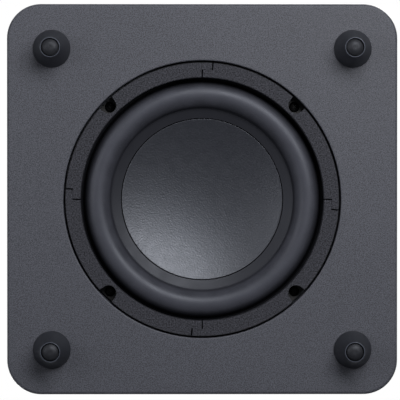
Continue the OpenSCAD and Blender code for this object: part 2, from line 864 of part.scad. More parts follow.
module inlet_pins() {
    tip = 4.5;
    color("silver") on_rear() for (side = [-1, 1])
        translate([inlet_x + side * pin_pitch / 2, inlet_y, tip])
            cylinder(r = pin_r, h = inlet_back + 4 - tip, $fn = 32);
}

// Two insulated leads, each a U-turn from one of the inlet's tails back to the board
module mains_leads() {
    mains_lead_r = 0.9;
    turn_x = board_x + board_w / 2 + 4;
    turn_y = cabinet_w / 2 - inlet_back - 8;
    tail_y = cabinet_w / 2 - inlet_back - 4.2;
    board_y = cabinet_w / 2 - board_back - 0.1;
    color("sienna") for (side = [-1, 1]) translate([turn_x, turn_y, plate_z + inlet_y]) {
        bend_r = inlet_x + side * pin_pitch / 2 - turn_x;
        mirror([0, 1, 0]) rotate_extrude(angle = 180) translate([bend_r, 0])
            circle(r = mains_lead_r, $fn = 24);
        translate([bend_r, 0, 0]) rotate([-90, 0, 0])
            cylinder(r = mains_lead_r, h = tail_y - turn_y, $fn = 24);
        translate([-bend_r, 0, 0]) rotate([-90, 0, 0])
            cylinder(r = mains_lead_r, h = board_y - turn_y, $fn = 24);
    }
}

// ---------- Controls ----------

// Round cap, a collar that holds it behind the plate, and a stem that reaches the switch
module pairing_button() {
    color(plastic_black) on_rear() translate([button_x, control_y, 0]) {
        translate([0, 0, button_top]) cylinder(r = button_r, h = plate_t + 0.1 - button_top);
        translate([0, 0, plate_t + 0.1]) cylinder(r = button_r + 1.1, h = 1.2);
        translate([0, 0, plate_t + 1.3]) cylinder(r = 2, h = stem_end - plate_t - 1.3);
    }
}

module switch_plunger() {
    color("ivory") on_rear() translate([button_x, control_y, stem_end])
        cylinder(r = plunger_r, h = switch_top + 1.5 - stem_end, $fn = 48);
}

module tact_switch() {
    color("silver") on_rear() translate([button_x, control_y, 0]) difference() {
        translate([-3.1, -3.1, switch_top]) cube([6.2, 6.2, boss_end - switch_top]);
        translate([0, 0, switch_top - over])
            cylinder(r = plunger_r + 0.05, h = 1.5 + button_travel + 0.3 + over, $fn = 48);
    }
}

// Clear light pipe from the plate's face to the lamp on the board
module indicator_lens() {
    color("white") on_rear() translate([lens_x, control_y, field_depth])
        cylinder(r = lens_r, h = stem_end - field_depth, $fn = 48);
}

module indicator_led() {
    color("ivory") on_rear() translate([lens_x - 1.6, control_y - 1.4, boss_end - 2]) cube([3.2, 2.8, 2]);
}

cabinet_sleeve();
top_panel();
bottom_baffle();
port_tube();
acoustic_wadding();
foot_front_left();
foot_front_right();
foot_rear_left();
foot_rear_right();
foot_pad_front_left();
foot_pad_front_right();
foot_pad_rear_left();
foot_pad_rear_right();
foot_screws();
trim_segment_right();
trim_segment_rear();
trim_segment_left();
trim_segment_front();
driver_gasket();
driver_screws();
basket();
surround();
cone();
cone_body();
voice_coil_former();
voice_coil();
spider();
top_plate();
magnet();
t_yoke();
terminal_strip();
terminal_lugs();
tinsel_leads();
speaker_cable();
cable_plug();
amp_plate();
amp_gasket();
amp_screws();
main_board();
board_screws();
heat_sink();
power_devices();
transformer_core();
transformer_winding();
bulk_capacitors();
output_coils();
radio_board();
radio_shield();
antenna();
mains_inlet();
inlet_pins();
mains_leads();
pairing_button();
switch_plunger();
tact_switch();
indicator_lens();
indicator_led();
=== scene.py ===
"""Looks of a down-firing subwoofer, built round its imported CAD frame. All lengths are in metres."""

import json
import math

import bmesh
import bpy
import numpy as np
from mathutils import Matrix, Vector, noise


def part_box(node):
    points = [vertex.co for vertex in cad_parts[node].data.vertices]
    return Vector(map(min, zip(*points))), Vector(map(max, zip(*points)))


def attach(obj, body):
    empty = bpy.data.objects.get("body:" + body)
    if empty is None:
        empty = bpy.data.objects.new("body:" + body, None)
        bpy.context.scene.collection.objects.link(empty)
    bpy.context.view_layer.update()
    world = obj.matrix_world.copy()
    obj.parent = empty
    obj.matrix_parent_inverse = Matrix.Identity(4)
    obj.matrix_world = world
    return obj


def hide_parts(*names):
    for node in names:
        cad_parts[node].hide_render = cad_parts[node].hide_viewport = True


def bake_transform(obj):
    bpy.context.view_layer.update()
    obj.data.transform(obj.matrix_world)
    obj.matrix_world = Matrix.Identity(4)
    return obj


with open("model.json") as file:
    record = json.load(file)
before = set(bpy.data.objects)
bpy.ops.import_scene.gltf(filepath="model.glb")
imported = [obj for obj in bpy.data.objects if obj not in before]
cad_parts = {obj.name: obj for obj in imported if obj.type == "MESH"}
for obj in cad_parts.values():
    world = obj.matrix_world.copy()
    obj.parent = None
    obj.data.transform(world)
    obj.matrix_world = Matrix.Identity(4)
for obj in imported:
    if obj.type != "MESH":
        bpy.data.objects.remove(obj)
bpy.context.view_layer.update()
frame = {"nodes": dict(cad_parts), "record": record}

MM = 0.001
NODE_SLOT = {part["node"]: part["material_slot"] for part in frame["record"]["subparts"]}
SLOT_COLOUR = {m["slot"]: tuple(m["base_color"][:3]) for m in frame["record"]["materials"]}
QUARTER = math.pi / 2

# Sizes taken from the frame
BAFFLE_LOW, BAFFLE_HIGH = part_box("bottom_baffle")
HALF_W = BAFFLE_HIGH.x
FACE_Z = BAFFLE_LOW.z
BAFFLE_TOP = BAFFLE_HIGH.z
SLEEVE_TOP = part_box("cabinet_sleeve")[1].z
TOP_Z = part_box("top_panel")[1].z
FLANGE_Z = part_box("basket")[0].z
GASKET_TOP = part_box("driver_gasket")[1].z
TRIM_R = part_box("driver_gasket")[1].x
LAND_OUTER_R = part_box("surround")[1].x
DISH_RIM_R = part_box("cone")[1].x
DISH_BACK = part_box("cone")[1].z
PLATE_LOW, PLATE_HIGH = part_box("amp_plate")
PLATE_MIDDLE = (PLATE_LOW + PLATE_HIGH) / 2
PORT_LOW, PORT_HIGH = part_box("port_tube")
PLATE_W = PLATE_HIGH.x - PLATE_LOW.x
PLATE_H = PLATE_HIGH.z - PLATE_LOW.z
PORT_FLANGE_R = PORT_HIGH.x
PORT_Z = (PORT_LOW.z + PORT_HIGH.z) / 2

# Cabinet, where a box doesn't tell
CORNER_R = 21 * MM
EDGE_R = 2 * MM
WALL = 12 * MM
SEAM = 0.15 * MM
REBATE_R = TRIM_R + 1.1 * MM
REBATE_LIP = 0.8 * MM
DRIVER_HOLE_R = 74 * MM
PORT_R = 26 * MM
PORT_FLARE = 10 * MM
PORT_T = 2.5 * MM
SIDE_STEPS = 48
CORNER_STEPS = 18

# Feet: the pad sits in a hole in the tip, with the screw's head above it
FOOT_TIP_R = 6.1 * MM
FOOT_BORE_R = 2.2 * MM
FOOT_HEAD_R = 3.9 * MM
FOOT_HEAD_H = 3 * MM
PAD_R = 5.2 * MM
PAD_PLAY = 0.25 * MM
PAD_SHOWN_R = PAD_R - 0.35 * MM
PAD_SEAT = 3.1 * MM
PAD_BASE_H = 0.4 * MM
PAD_PROUD = 0.6 * MM
PAD_FLAT_R = 1.2 * MM
PAD_SAG = 1.3 * MM

# Trim ring
TRIM_INNER_R = 74.8 * MM
TRIM_LAP_R = 79.7 * MM
TRIM_LAP_TURN = math.radians(4.5)
TRIM_JOINT = 0.8 * MM
LAP_GAP = 0.1 * MM
TRIM_BEVEL = 0.15 * MM
TRIM_INNER_BEVEL = 0.7 * MM
SCREW_CIRCLE_R = 80.5 * MM
NOTCH_R = 4.8 * MM
NOTCH_CENTRE_R = SCREW_CIRCLE_R + 1 * MM
NOTCH_FLARE = math.radians(10)

# Surround and dish, whose faces are parts of spheres about one centre
RUBBER = 0.8 * MM
ROLL_R = 8.3 * MM
ROLL_CREST_R = 64.7 * MM
SEAT_DEPTH = 1.5 * MM
LAND_BACK = FLANGE_Z + RUBBER
LAND_END_R = ROLL_CREST_R - ROLL_R
DISH_T = 0.8 * MM
DISH_SHOWN_R = 50.2 * MM
DISH_DEPTH = DISH_BACK - DISH_T - LAND_BACK
DISH_SPHERE_R = (DISH_RIM_R ** 2 + DISH_DEPTH ** 2) / (2 * DISH_DEPTH)
DISH_CENTRE_Z = LAND_BACK + DISH_DEPTH - DISH_SPHERE_R
DISH_RAISED = 0.55 * MM
GROOVE_W = 0.5 * MM
GROOVE_DEPTH = 0.4 * MM
GROOVE_ROUND = 0.2 * MM

# Spider and tinsel leads
SPIDER_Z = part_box("basket")[1].z - 18.3 * MM
SPIDER_LAND_R = 41 * MM
SPIDER_WAVE_END_R = 20 * MM
SPIDER_INNER_R = 15.9 * MM
SPIDER_HALF_WAVE = 4.2 * MM
SPIDER_LIFT = 2 * MM
SPIDER_T = 0.5 * MM
LEAD_R = 0.7 * MM
LEAD_TURN_R = 0.8 * MM

# Screws
DRIVER_SCREW = {"head_r": 3 * MM, "head_h": 2.2 * MM, "shank_r": 1.9 * MM,
                "recess": 1.7 * MM, "recess_depth": 1 * MM}
PLATE_SCREW = {"head_r": 3.2 * MM, "head_h": 2 * MM, "shank_r": 1.6 * MM,
               "recess": 2 * MM, "recess_depth": 1.1 * MM}
PLATE_SHANK_H = 8.8 * MM
SCREW_POINT_H = 1 * MM

# Rear plate
PLAY = 0.3 * MM
OVER = 2 * MM
PLATE_T = 4 * MM
PLATE_RIM = 10 * MM
PLATE_CORNER_R = 8 * MM
PLATE_REBATE = 5 * MM
FIELD_DEPTH = 1.5 * MM
FIELD_MARGIN = 6 * MM
PLATE_SCREW_SEAT = 2.2 * MM
PLATE_SCREW_HOLE_R = 1.9 * MM
BOSS_R = 4 * MM
BOSS_BORE_R = 1.25 * MM
BOSS_START = PLATE_T - 0.2 * MM
BOSS_BORE_START = 6.5 * MM
BOSS_END = 16 * MM
BOSS_INSET = 2.6 * MM
INLET_SIZE = (25 * MM, 17 * MM)
INLET_FLANGE = (29 * MM, 21 * MM)
INLET_FLANGE_T = 1.5 * MM
INLET_HOLE = (25.2 * MM, 17.2 * MM, 0.6 * MM)
INLET_DEPTH = 13.5 * MM
LOBE_R = 4.2 * MM
WAIST = 2.7 * MM
PIN_OFFSET = 4.3 * MM
PIN_R = 1.2 * MM
BUTTON_HOLE_R = 3.6 * MM
BUTTON_R = 3.5 * MM
BUTTON_COLLAR_R = 4.6 * MM
BUTTON_COLLAR_H = 1.2 * MM
BUTTON_STEM_R = 2 * MM
LENS_HOLE_R = 1.55 * MM
LENS_R = 1.5 * MM

# Studio
SKY_STRENGTH = {"From Min": 0.4, "From Max": 0.75, "To Min": 0.07, "To Max": 0.6}
KEY_LIGHT = {"turn": math.radians(300), "off_axis": math.radians(33), "size": (0.9, 0.42), "power": 6.3}
SIDE_LIGHT = {"turn": math.radians(195), "off_axis": math.radians(45), "size": (0.6, 0.5), "power": 1.3}
LAMP_DISTANCE = 1.0
SUN_SPREAD = math.radians(20)
SUN_AIM = Vector((0, 0, 0.2))
CAMERA_DISTANCE = 1.72
CAMERA_SHIFT = (-0.018, -0.019)
AIM_SHIFT = (-0.0014, 0.0004)
VIEW_WIDTH = 0.2458


# ---------- Mesh helpers ----------


def finish_mesh(name, verts, faces, sharp_degrees=35):
    """A mesh object with outward normals, smooth faces and sharp edges where it turns."""
    mesh = bpy.data.meshes.new(name)
    mesh.from_pydata([tuple(v) for v in verts], [], [list(f) for f in faces])
    work = bmesh.new()
    work.from_mesh(mesh)
    bmesh.ops.remove_doubles(work, verts=work.verts, dist=1e-7)
    bmesh.ops.recalc_face_normals(work, faces=work.faces)
    work.to_mesh(mesh)
    work.free()
    obj = add_object(name, mesh)
    shade(obj, sharp_degrees)
    return obj


def add_object(name, data):
    obj = bpy.data.objects.new(name, data)
    bpy.context.scene.collection.objects.link(obj)
    return obj


def shade(obj, sharp_degrees):
    mesh = obj.data
    mesh.polygons.foreach_set("use_smooth", [True] * len(mesh.polygons))
    mesh.set_sharp_from_angle(angle=math.radians(sharp_degrees))


def level_faces(obj):
    """Shades large flat faces flat: each corner takes its normal from the largest face that meets there."""
    weigh = obj.modifiers.new("weigh", "WEIGHTED_NORMAL")
    weigh.keep_sharp = True
    weigh.weight = 100
    apply_modifiers(obj)
    return obj


def apply_modifiers(obj):
    graph = bpy.context.evaluated_depsgraph_get()
    mesh = bpy.data.meshes.new_from_object(obj.evaluated_get(graph))
    obj.modifiers.clear()
    obj.data = mesh


def piece(obj, nodes, body="cabinet"):
    """Puts obj on a body in place of the named CAD nodes, with their slot's material."""
    slot = NODE_SLOT[nodes[0]]
    obj.data.materials.clear()
    obj.data.materials.append(material(slot))
    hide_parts(*nodes)
    if body:
        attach(obj, body)
    return obj


def centre_of(node):
    low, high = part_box(node)
    return (low.x + high.x) / 2, (low.y + high.y) / 2, (low.z + high.z) / 2


def move(obj, x=0.0, y=0.0, z=0.0):
    obj.data.transform(Matrix.Translation((x, y, z)))
    return obj


def rounded_path(corners, steps=5):
    """Closed outline through (x, y, radius) corners, each rounded by its radius."""
    points = []
    for i, (x, y, radius) in enumerate(corners):
        here = Vector((x, y))
        if radius <= 0:
            points.append((x, y))
            continue
        before = (Vector(corners[i - 1][:2]) - here).normalized()
        after = (Vector(corners[(i + 1) % len(corners)][:2]) - here).normalized()
        half = before.angle(after) / 2
        reach = radius / math.tan(half)
        centre = here + (before + after).normalized() * radius / math.sin(half)
        start = here + before * reach - centre
        end = here + after * reach - centre
        first = math.atan2(start.y, start.x)
        sweep = (math.atan2(end.y, end.x) - first + math.pi) % (2 * math.pi) - math.pi
        for k in range(steps + 1):
            turn = first + sweep * k / steps
            points.append((centre.x + radius * math.cos(turn), centre.y + radius * math.sin(turn)))
    return points


def arc(x, y, radius, first, last, steps):
    """Points on an arc, with angles in radians."""
    turns = np.linspace(first, last, steps + 1)
    return [(x + radius * math.cos(t), y + radius * math.sin(t)) for t in turns]


def polar(radius, turn):
    return (radius * math.cos(turn), radius * math.sin(turn))


def polar_arc(radius, first, last, step=math.radians(0.75)):
    count = max(1, round(abs(last - first) / step))
    return [polar(radius, t) for t in np.linspace(first, last, count + 1)]


def skin(rows, closed):
    """Faces between neighbouring rows of vertex numbers; a row of one vertex is a pole."""
    faces = []
    pairs = list(zip(rows, rows[1:]))
    if closed:
        pairs.append((rows[-1], rows[0]))
    count = max(len(row) for row in rows)
    for a, b in pairs:
        for k in range(count):
            m = (k + 1) % count
            corners = [a[k % len(a)], a[m % len(a)], b[m % len(b)], b[k % len(b)]]
            corners = list(dict.fromkeys(corners))
            if len(corners) > 2:
                faces.append(corners)
    return faces


def lathe(name, profile, steps=192, sharp_degrees=35):
    """A closed profile of (radius, height) points turned about Z."""
    verts, rows = [], []
    turns = [2 * math.pi * k / steps for k in range(steps)]
    for r, z in profile:
        if r < 1e-9:
            rows.append([len(verts)])
            verts.append((0.0, 0.0, z))
        else:
            rows.append(list(range(len(verts), len(verts) + steps)))
            verts += [(*polar(r, t), z) for t in turns]
    return finish_mesh(name, verts, skin(rows, closed=True), sharp_degrees)


def loft(name, rings, closed, sharp_degrees=35):
    """Rings of points joined in order. An open loft gets a flat cap at each end."""
    verts = [p for ring in rings for p in ring]
    size = len(rings[0])
    rows = [list(range(i * size, (i + 1) * size)) for i in range(len(rings))]
    faces = skin(rows, closed)
    if not closed:
        faces += [rows[0], rows[-1]]
    return finish_mesh(name, verts, faces, sharp_degrees)


def offset_outline(points, distance):
    """The closed outline moved inwards; distance is one number, or one per edge that leaves a point."""
    p = np.array(points)
    after = np.broadcast_to(np.asarray(distance, dtype=float), len(p))
    before = np.roll(after, 1)
    area = 0.5 * np.sum(p[:, 0] * np.roll(p[:, 1], -1) - np.roll(p[:, 0], -1) * p[:, 1])
    edge = np.roll(p, -1, axis=0) - p
    edge /= np.linalg.norm(edge, axis=1)[:, None]
    n2 = np.stack([-edge[:, 1], edge[:, 0]], axis=1) * math.copysign(1, area)
    n1 = np.roll(n2, 1, axis=0)
    turn = n1[:, 0] * n2[:, 1] - n1[:, 1] * n2[:, 0]
    straight = np.abs(turn) < 0.3
    middle = n1 + n2
    middle *= ((before + after) / np.sum(middle * middle, axis=1))[:, None]
    turn = np.where(straight, 1.0, turn)
    corner = np.stack([before * n2[:, 1] - after * n1[:, 1], after * n1[:, 0] - before * n2[:, 0]], axis=1)
    return p + np.where(straight[:, None], middle, corner / turn[:, None])


def bevelled_plate(name, outline, back, front, bevel, steps=3):
    """A flat plate from back to front with rounded front edges; bevel is one radius, or one per edge."""
    sign = math.copysign(1, back - front)
    bevel = np.broadcast_to(np.asarray(bevel, dtype=float), len(outline))
    turns = [QUARTER * k / steps for k in range(steps + 1)]
    heights = sorted({radius * (1 - math.sin(t)) for radius in set(bevel) for t in turns}, reverse=True)
    rings = [[(x, y, back) for x, y in outline]]
    for height in heights:
        short = np.clip(bevel - height, 0, None)
        inset = bevel - np.sqrt(bevel ** 2 - short ** 2)
        rings.append([(x, y, front + sign * height) for x, y in offset_outline(outline, inset)])
    return loft(name, rings, closed=False)


def rectangle(w, h, radius, steps=8):
    corners = [(w / 2, h / 2), (-w / 2, h / 2), (-w / 2, -h / 2), (w / 2, -h / 2)]
    return rounded_path([(x, y, radius) for x, y in corners], steps)


def circle(radius, steps=96, x=0.0, y=0.0):
    return [(x + px, y + py) for px, py in arc(0, 0, radius, 0, 2 * math.pi, steps)[:-1]]


def prism(name, outline, low, high):
    return loft(name, [[(x, y, z) for x, y in outline] for z in (low, high)], closed=False)


REAR = Matrix.Translation((0, HALF_W, 0)) @ Matrix.Rotation(QUARTER, 4, "X")


def to_rear(obj, height):
    """Takes plate coordinates (x, up from height, depth in from the rear face) to the row frame."""
    obj.data.transform(Matrix.Translation((0, 0, height)) @ REAR)
    return obj


def carve(obj, cutters, bevel):
    """Cuts the cutters out of obj and rounds the edges that this leaves."""
    for cutter in cutters:
        cut = obj.modifiers.new("cut", "BOOLEAN")
        cut.operation = "DIFFERENCE"
        cut.solver = "EXACT"
        cut.object = cutter
    rounding = obj.modifiers.new("rounding", "BEVEL")
    rounding.width = bevel
    rounding.segments = 2
    rounding.limit_method = "ANGLE"
    rounding.angle_limit = math.radians(40)
    rounding.use_clamp_overlap = True
    apply_modifiers(obj)
    for cutter in cutters:
        bpy.data.objects.remove(cutter)
    shade(obj, 35)


def join(first, others):
    """Adds the meshes of others to first and removes them."""
    work = bmesh.new()
    work.from_mesh(first.data)
    for other in others:
        work.from_mesh(other.data)
        bpy.data.objects.remove(other)
    work.to_mesh(first.data)
    work.free()
    return first


def group(name, objs):
    """One object of that name in place of objs."""
    whole = join(objs[0], objs[1:])
    whole.name = name
    return whole


# ---------- Materials ----------


# The part of its 0 to 1 that noise mostly keeps to
NOISE_SPAN = (0.3, 0.7)
# A wave texture of scale s repeats every WAVE_LENGTH / s
WAVE_LENGTH = 0.314
PATCH = 12 * MM
COOL_SHEEN = (0.86, 0.9, 1.0, 1.0)


class Finish:
    """A Principled material under construction, in tints of its slot's colour."""

    def __init__(self, slot, roughness, metallic=0.0, specular=0.5):
        self.base = SLOT_COLOUR[slot]
        self.material = bpy.data.materials.new(slot)
        self.material.use_nodes = True
        self.tree = self.material.node_tree
        self.shader = self.tree.nodes["Principled BSDF"]
        self.point = self.add("TexCoord").outputs["Object"]
        self.normal = None
        self.set("Base Color", self.tint(1.0))
        self.set("Roughness", roughness)
        self.set("Metallic", metallic)
        self.set("Specular IOR Level", specular)

    def add(self, kind, inputs=None, **settings):
        """A new node; inputs gives each socket its value, or the output that drives it."""
        node = self.tree.nodes.new("ShaderNode" + kind)
        for key, value in settings.items():
            setattr(node, key, value)
        for socket, value in (inputs or {}).items():
            self.set(socket, value, node)
        return node

    def set(self, socket, value, node=None):
        """Gives a socket, of the shader unless a node is named, its value or the output that drives it."""
        target = (node or self.shader).inputs[socket]
        if isinstance(value, bpy.types.NodeSocket):
            self.tree.links.new(value, target)
        else:
            target.default_value = value

    def tint(self, factor):
        return (*(min(1.0, c * factor) for c in self.base), 1.0)

    def radius(self, point=None):
        """Distance from the driver's axis, or of another point from the upright line at zero."""
        flat = self.add("VectorMath", {0: point or self.point, 1: (1.0, 1.0, 0.0)}, operation="MULTIPLY")
        return self.add("VectorMath", {0: flat.outputs["Vector"]}, operation="LENGTH").outputs["Value"]

    def foot_radius(self):
        """Distance from the axis of the nearest foot: the four feet mirror one another."""
        x, y, _ = centre_of("foot_rear_right")
        folded = self.add("VectorMath", {0: self.point}, operation="ABSOLUTE")
        shifted = self.add("VectorMath", {0: folded.outputs["Vector"], 1: (x, y, 0.0)}, operation="SUBTRACT")
        return self.radius(shifted.outputs["Vector"])

    def height(self):
        return self.add("SeparateXYZ", {"Vector": self.point}).outputs["Z"]

    def noise(self, size, detail=2.0, roughness=0.5, vector=None):
        """Noise from 0 to 1 whose features are about size across."""
        inputs = {"Vector": vector or self.point, "Scale": 1 / size, "Detail": detail, "Roughness": roughness}
        return self.add("TexNoise", inputs).outputs["Fac"]

    def cells(self, size):
        """Distance from the nearest of scattered points, about size apart."""
        return self.add("TexVoronoi", {"Vector": self.point, "Scale": 1 / size}).outputs["Distance"]

    def waves(self, length, direction, distortion=0.0):
        inputs = {"Vector": self.point, "Scale": WAVE_LENGTH / length, "Distortion": distortion}
        return self.add("TexWave", inputs, bands_direction=direction).outputs["Fac"]

    def spread(self, value, low, high, to_low=0.0, to_high=1.0):
        """value taken from low..high to to_low..to_high, clamped."""
        inputs = {"Value": value, "From Min": low, "From Max": high, "To Min": to_low, "To Max": to_high}
        return self.add("MapRange", inputs).outputs["Result"]

    def math(self, operation, a, b):
        return self.add("Math", {0: a, 1: b}, operation=operation).outputs[0]

    def blend(self, share, first, second):
        """Mixes two colours (or colour outputs) by share."""
        return self.add("Mix", {"Factor": share, 6: first, 7: second}, data_type="RGBA").outputs[2]

    def mottle(self, share, low, high, span=NOISE_SPAN):
        """The slot's colour between a low and a high tint, as share varies over span."""
        return self.blend(self.spread(share, *span), self.tint(low), self.tint(high))

    def gloss(self, size, low, high):
        """Roughness that drifts between low and high from patch to patch."""
        self.set("Roughness", self.spread(self.noise(size, detail=3.0), *NOISE_SPAN, low, high))

    def bump(self, height, depth):
        """Raises the surface by height times depth, on top of any earlier bump."""
        node = self.add("Bump", {"Distance": depth, "Height": height})
        if self.normal is not None:
            self.set("Normal", self.normal, node)
        self.normal = node.outputs["Normal"]
        self.set("Normal", self.normal)


def textured_paint(slot, roughness=0.5, depth=0.05 * MM, contrast=0.6):
    """Fine orange-peel paint with a fleck in its colour."""
    grain = 0.7 * MM
    finish = Finish(slot, roughness)
    fleck = finish.noise(grain * 0.8, detail=1.0)
    drift = finish.noise(60 * MM, detail=3.0)
    share = finish.math("ADD", finish.math("MULTIPLY", fleck, 0.95), finish.math("MULTIPLY", drift, 0.05))
    finish.set("Base Color", finish.mottle(share, 1 - contrast, 1 + contrast))
    finish.set("Roughness", finish.spread(fleck, *NOISE_SPAN, roughness - 0.06, roughness + 0.06))
    finish.bump(finish.noise(grain, roughness=0.6), depth)
    return finish.material


def moulded(slot, roughness, grain=0.5 * MM, depth=0.02 * MM, metallic=0.0, contrast=0.15):
    """Plain moulded, cast or plated surface with a fine grain and slightly uneven gloss."""
    finish = Finish(slot, roughness, metallic)
    finish.set("Base Color", finish.mottle(finish.noise(PATCH, detail=4.0), 1 - contrast, 1 + contrast))
    finish.gloss(3 * MM, roughness - 0.07, roughness + 0.07)
    finish.bump(finish.noise(grain), depth)
    return finish.material


def trim_material(slot):
    """Fibre-filled moulding: a coarse grain with pale flecks, and painted shade darkening its outer edge."""
    finish = Finish(slot, 0.7, specular=0.25)
    grain = finish.noise(0.8 * MM, roughness=0.6)
    fleck = finish.spread(finish.cells(1.3 * MM), 0.08, 0.3, 1.0, 0.0)
    body = finish.mottle(grain, 0.15, 1.85)
    flecked = finish.blend(finish.math("MULTIPLY", fleck, 0.6), body, finish.tint(2.6))
    # Painted shade: the outer edge is darkened to widen the shadow line between the ring and the baffle.
    edge = finish.spread(finish.radius(), TRIM_R - 0.4 * MM, TRIM_R - 0.15 * MM)
    finish.set("Base Color", finish.blend(edge, flecked, finish.tint(0.12)))
    finish.bump(grain, 0.06 * MM)
    return finish.material


def surround_material(slot):
    """Satin rubber: dusty on the roll, with a painted highlight along its top, darker on the land, and
    painted shade on the roll's outer foot, as if the trim ring shaded it.
    """
    finish = Finish(slot, 0.48)
    finish.set("Specular Tint", COOL_SHEEN)
    across = finish.radius()
    roll = finish.spread(across, LAND_END_R - 0.6 * MM, LAND_END_R + 1.2 * MM)
    # Painted shade: the roll's outer foot beside the ring is darkened nearly to black and loses most of its
    # sheen.
    foot = finish.spread(across, ROLL_CREST_R + 0.5 * ROLL_R, ROLL_CREST_R + 0.95 * ROLL_R)
    off_crest = finish.math("ABSOLUTE", finish.math("SUBTRACT", across, ROLL_CREST_R), 0.0)
    # Painted highlight: the top of the roll, which faces the lamps, is lightened.
    painted_crest_highlight = finish.spread(off_crest, 0.1 * ROLL_R, 0.6 * ROLL_R, 0.6, 0.0)
    dust = finish.spread(finish.noise(0.7 * MM), 0.5, 0.75)
    smear = finish.spread(finish.noise(9 * MM, detail=4.0), 0.35, 0.7)
    body = finish.blend(smear, finish.tint(0.9), finish.tint(1.15))
    body = finish.blend(painted_crest_highlight, body, finish.tint(1.6))
    body = finish.blend(finish.math("MULTIPLY", dust, 0.35), body, finish.tint(1.8))
    body = finish.blend(roll, finish.tint(0.52), body)
    finish.set("Base Color", finish.blend(foot, body, finish.tint(0.13)))
    finish.set("Roughness", finish.spread(smear, 0.0, 1.0, 0.4, 0.48))
    land_sheen = finish.spread(roll, 0.0, 1.0, 0.38, 0.5)
    painted_shade_sheen = finish.spread(foot, 0.0, 1.0, 1.0, 0.3)
    finish.set("Specular IOR Level", finish.math("MULTIPLY", land_sheen, painted_shade_sheen))
    finish.bump(finish.noise(0.6 * MM), 0.02 * MM)
    return finish.material


def dish_material(slot):
    """Matt pressed diaphragm with a fine even grain, a broad soft sheen and painted shade blackening the
    groove round it.
    """
    sheen = 0.88
    finish = Finish(slot, 0.4)
    finish.set("Specular Tint", COOL_SHEEN)
    finish.set("IOR", 1.6)
    grain = finish.noise(0.9 * MM)
    shoulder = DISH_SHOWN_R - GROOVE_W
    # Painted shade: the groove is made nearly black and without sheen, as if in shadow.
    groove = finish.spread(finish.radius(), shoulder - 0.06 * MM, shoulder)
    finish.set("Base Color", finish.blend(groove, finish.mottle(grain, 0.68, 1.05), finish.tint(0.05)))
    finish.set("Specular IOR Level", finish.spread(groove, 0.0, 1.0, sheen, 0.0))
    finish.gloss(5 * MM, 0.36, 0.43)
    finish.bump(grain, 0.14 * MM)
    return finish.material


def foot_material(slot):
    """Fine moulded texture, with a painted highlight on the rim round the pad and painted shade in the narrow
    space beside the pad.
    """
    finish = Finish(slot, 0.4)
    finish.set("Specular Tint", COOL_SHEEN)
    rim = finish.spread(finish.height(), PAD_PROUD + 0.02 * MM, PAD_PROUD + 0.2 * MM, 1.0, 0.0)
    reach = finish.foot_radius()
    # Painted highlight: the rim round the pad is made paler, as if catching the light.
    painted_rim_highlight = finish.spread(reach, FOOT_TIP_R - 0.55 * MM, FOOT_TIP_R - 0.35 * MM)
    # Painted shade: the narrow space beside the pad is made dark and nearly without sheen.
    painted_gap_shade = finish.spread(reach, FOOT_TIP_R - 0.6 * MM, FOOT_TIP_R - 0.45 * MM, 1.0, 0.0)
    body = finish.mottle(finish.noise(PATCH, detail=4.0), 0.85, 1.1)
    body = finish.blend(finish.math("MULTIPLY", rim, painted_rim_highlight), body, finish.tint(3.2))
    finish.set("Base Color", finish.blend(painted_gap_shade, body, finish.tint(0.15)))
    finish.set("Roughness", finish.spread(rim, 0.0, 1.0, 0.42, 0.3))
    finish.set("Specular IOR Level", finish.spread(painted_gap_shade, 0.0, 1.0, 0.5, 0.1))
    finish.bump(finish.noise(0.6 * MM), 0.02 * MM)
    return finish.material


def pad_material(slot):
    """Matt rubber with a cool sheen."""
    finish = Finish(slot, 0.5)
    finish.set("Specular Tint", COOL_SHEEN)
    grain = finish.noise(0.7 * MM)
    finish.set("Base Color", finish.mottle(grain, 0.85, 1.15))
    finish.gloss(3 * MM, 0.43, 0.55)
    finish.bump(grain, 0.03 * MM)
    return finish.material


def cloth_material(slot, thread=0.6 * MM):
    """Plain weave: two crossed waves lift the threads over and under each other."""
    finish = Finish(slot, 0.85, specular=0.2)
    warp, weft = (finish.waves(thread, direction, distortion=0.6) for direction in ("X", "Y"))
    weave = finish.math("MULTIPLY", warp, weft)
    finish.set("Base Color", finish.blend(weave, finish.tint(0.6), finish.tint(1.2)))
    finish.bump(weave, 0.15 * MM)
    return finish.material


def wadding_material(slot):
    """Loose white fibre."""
    finish = Finish(slot, 0.95, specular=0.1)
    stretch = finish.add("Mapping", {"Vector": finish.point, "Scale": (0.25, 1.0, 1.0)})
    strands = finish.noise(1.2 * MM, detail=6.0, roughness=0.7, vector=stretch.outputs["Vector"])
    finish.set("Base Color", finish.mottle(strands, 0.75, 1.1, span=(0.35, 0.65)))
    finish.bump(strands, 0.8 * MM)
    return finish.material


def winding_material(slot, metallic=0.0):
    """Enamelled wire wound in close turns along Z."""
    finish = Finish(slot, 0.3, metallic)
    turns = finish.waves(0.35 * MM, "Z")
    finish.set("Base Color", finish.blend(turns, finish.tint(0.45), finish.tint(1.1)))
    finish.bump(turns, 0.12 * MM)
    return finish.material


def board_material(slot):
    """Green solder mask over faint copper tracks."""
    finish = Finish(slot, 0.3)
    upright = finish.add("Mapping", {"Vector": finish.point, "Rotation": (QUARTER, 0, 0)}).outputs["Vector"]
    tracks = finish.add("TexBrick", {"Vector": upright, "Scale": 120, "Mortar Size": 0.03}).outputs["Fac"]
    finish.set("Base Color", finish.blend(tracks, finish.tint(1.0), finish.tint(2.0)))
    finish.bump(tracks, 0.04 * MM)
    return finish.material


def clear_material(slot):
    """Clear light pipe, faintly hazy."""
    finish = Finish(slot, 0.12)
    finish.set("Transmission Weight", 0.85)
    finish.set("Roughness", finish.spread(finish.noise(1 * MM), *NOISE_SPAN, 0.08, 0.2))
    finish.bump(finish.noise(0.6 * MM), 0.01 * MM)
    return finish.material


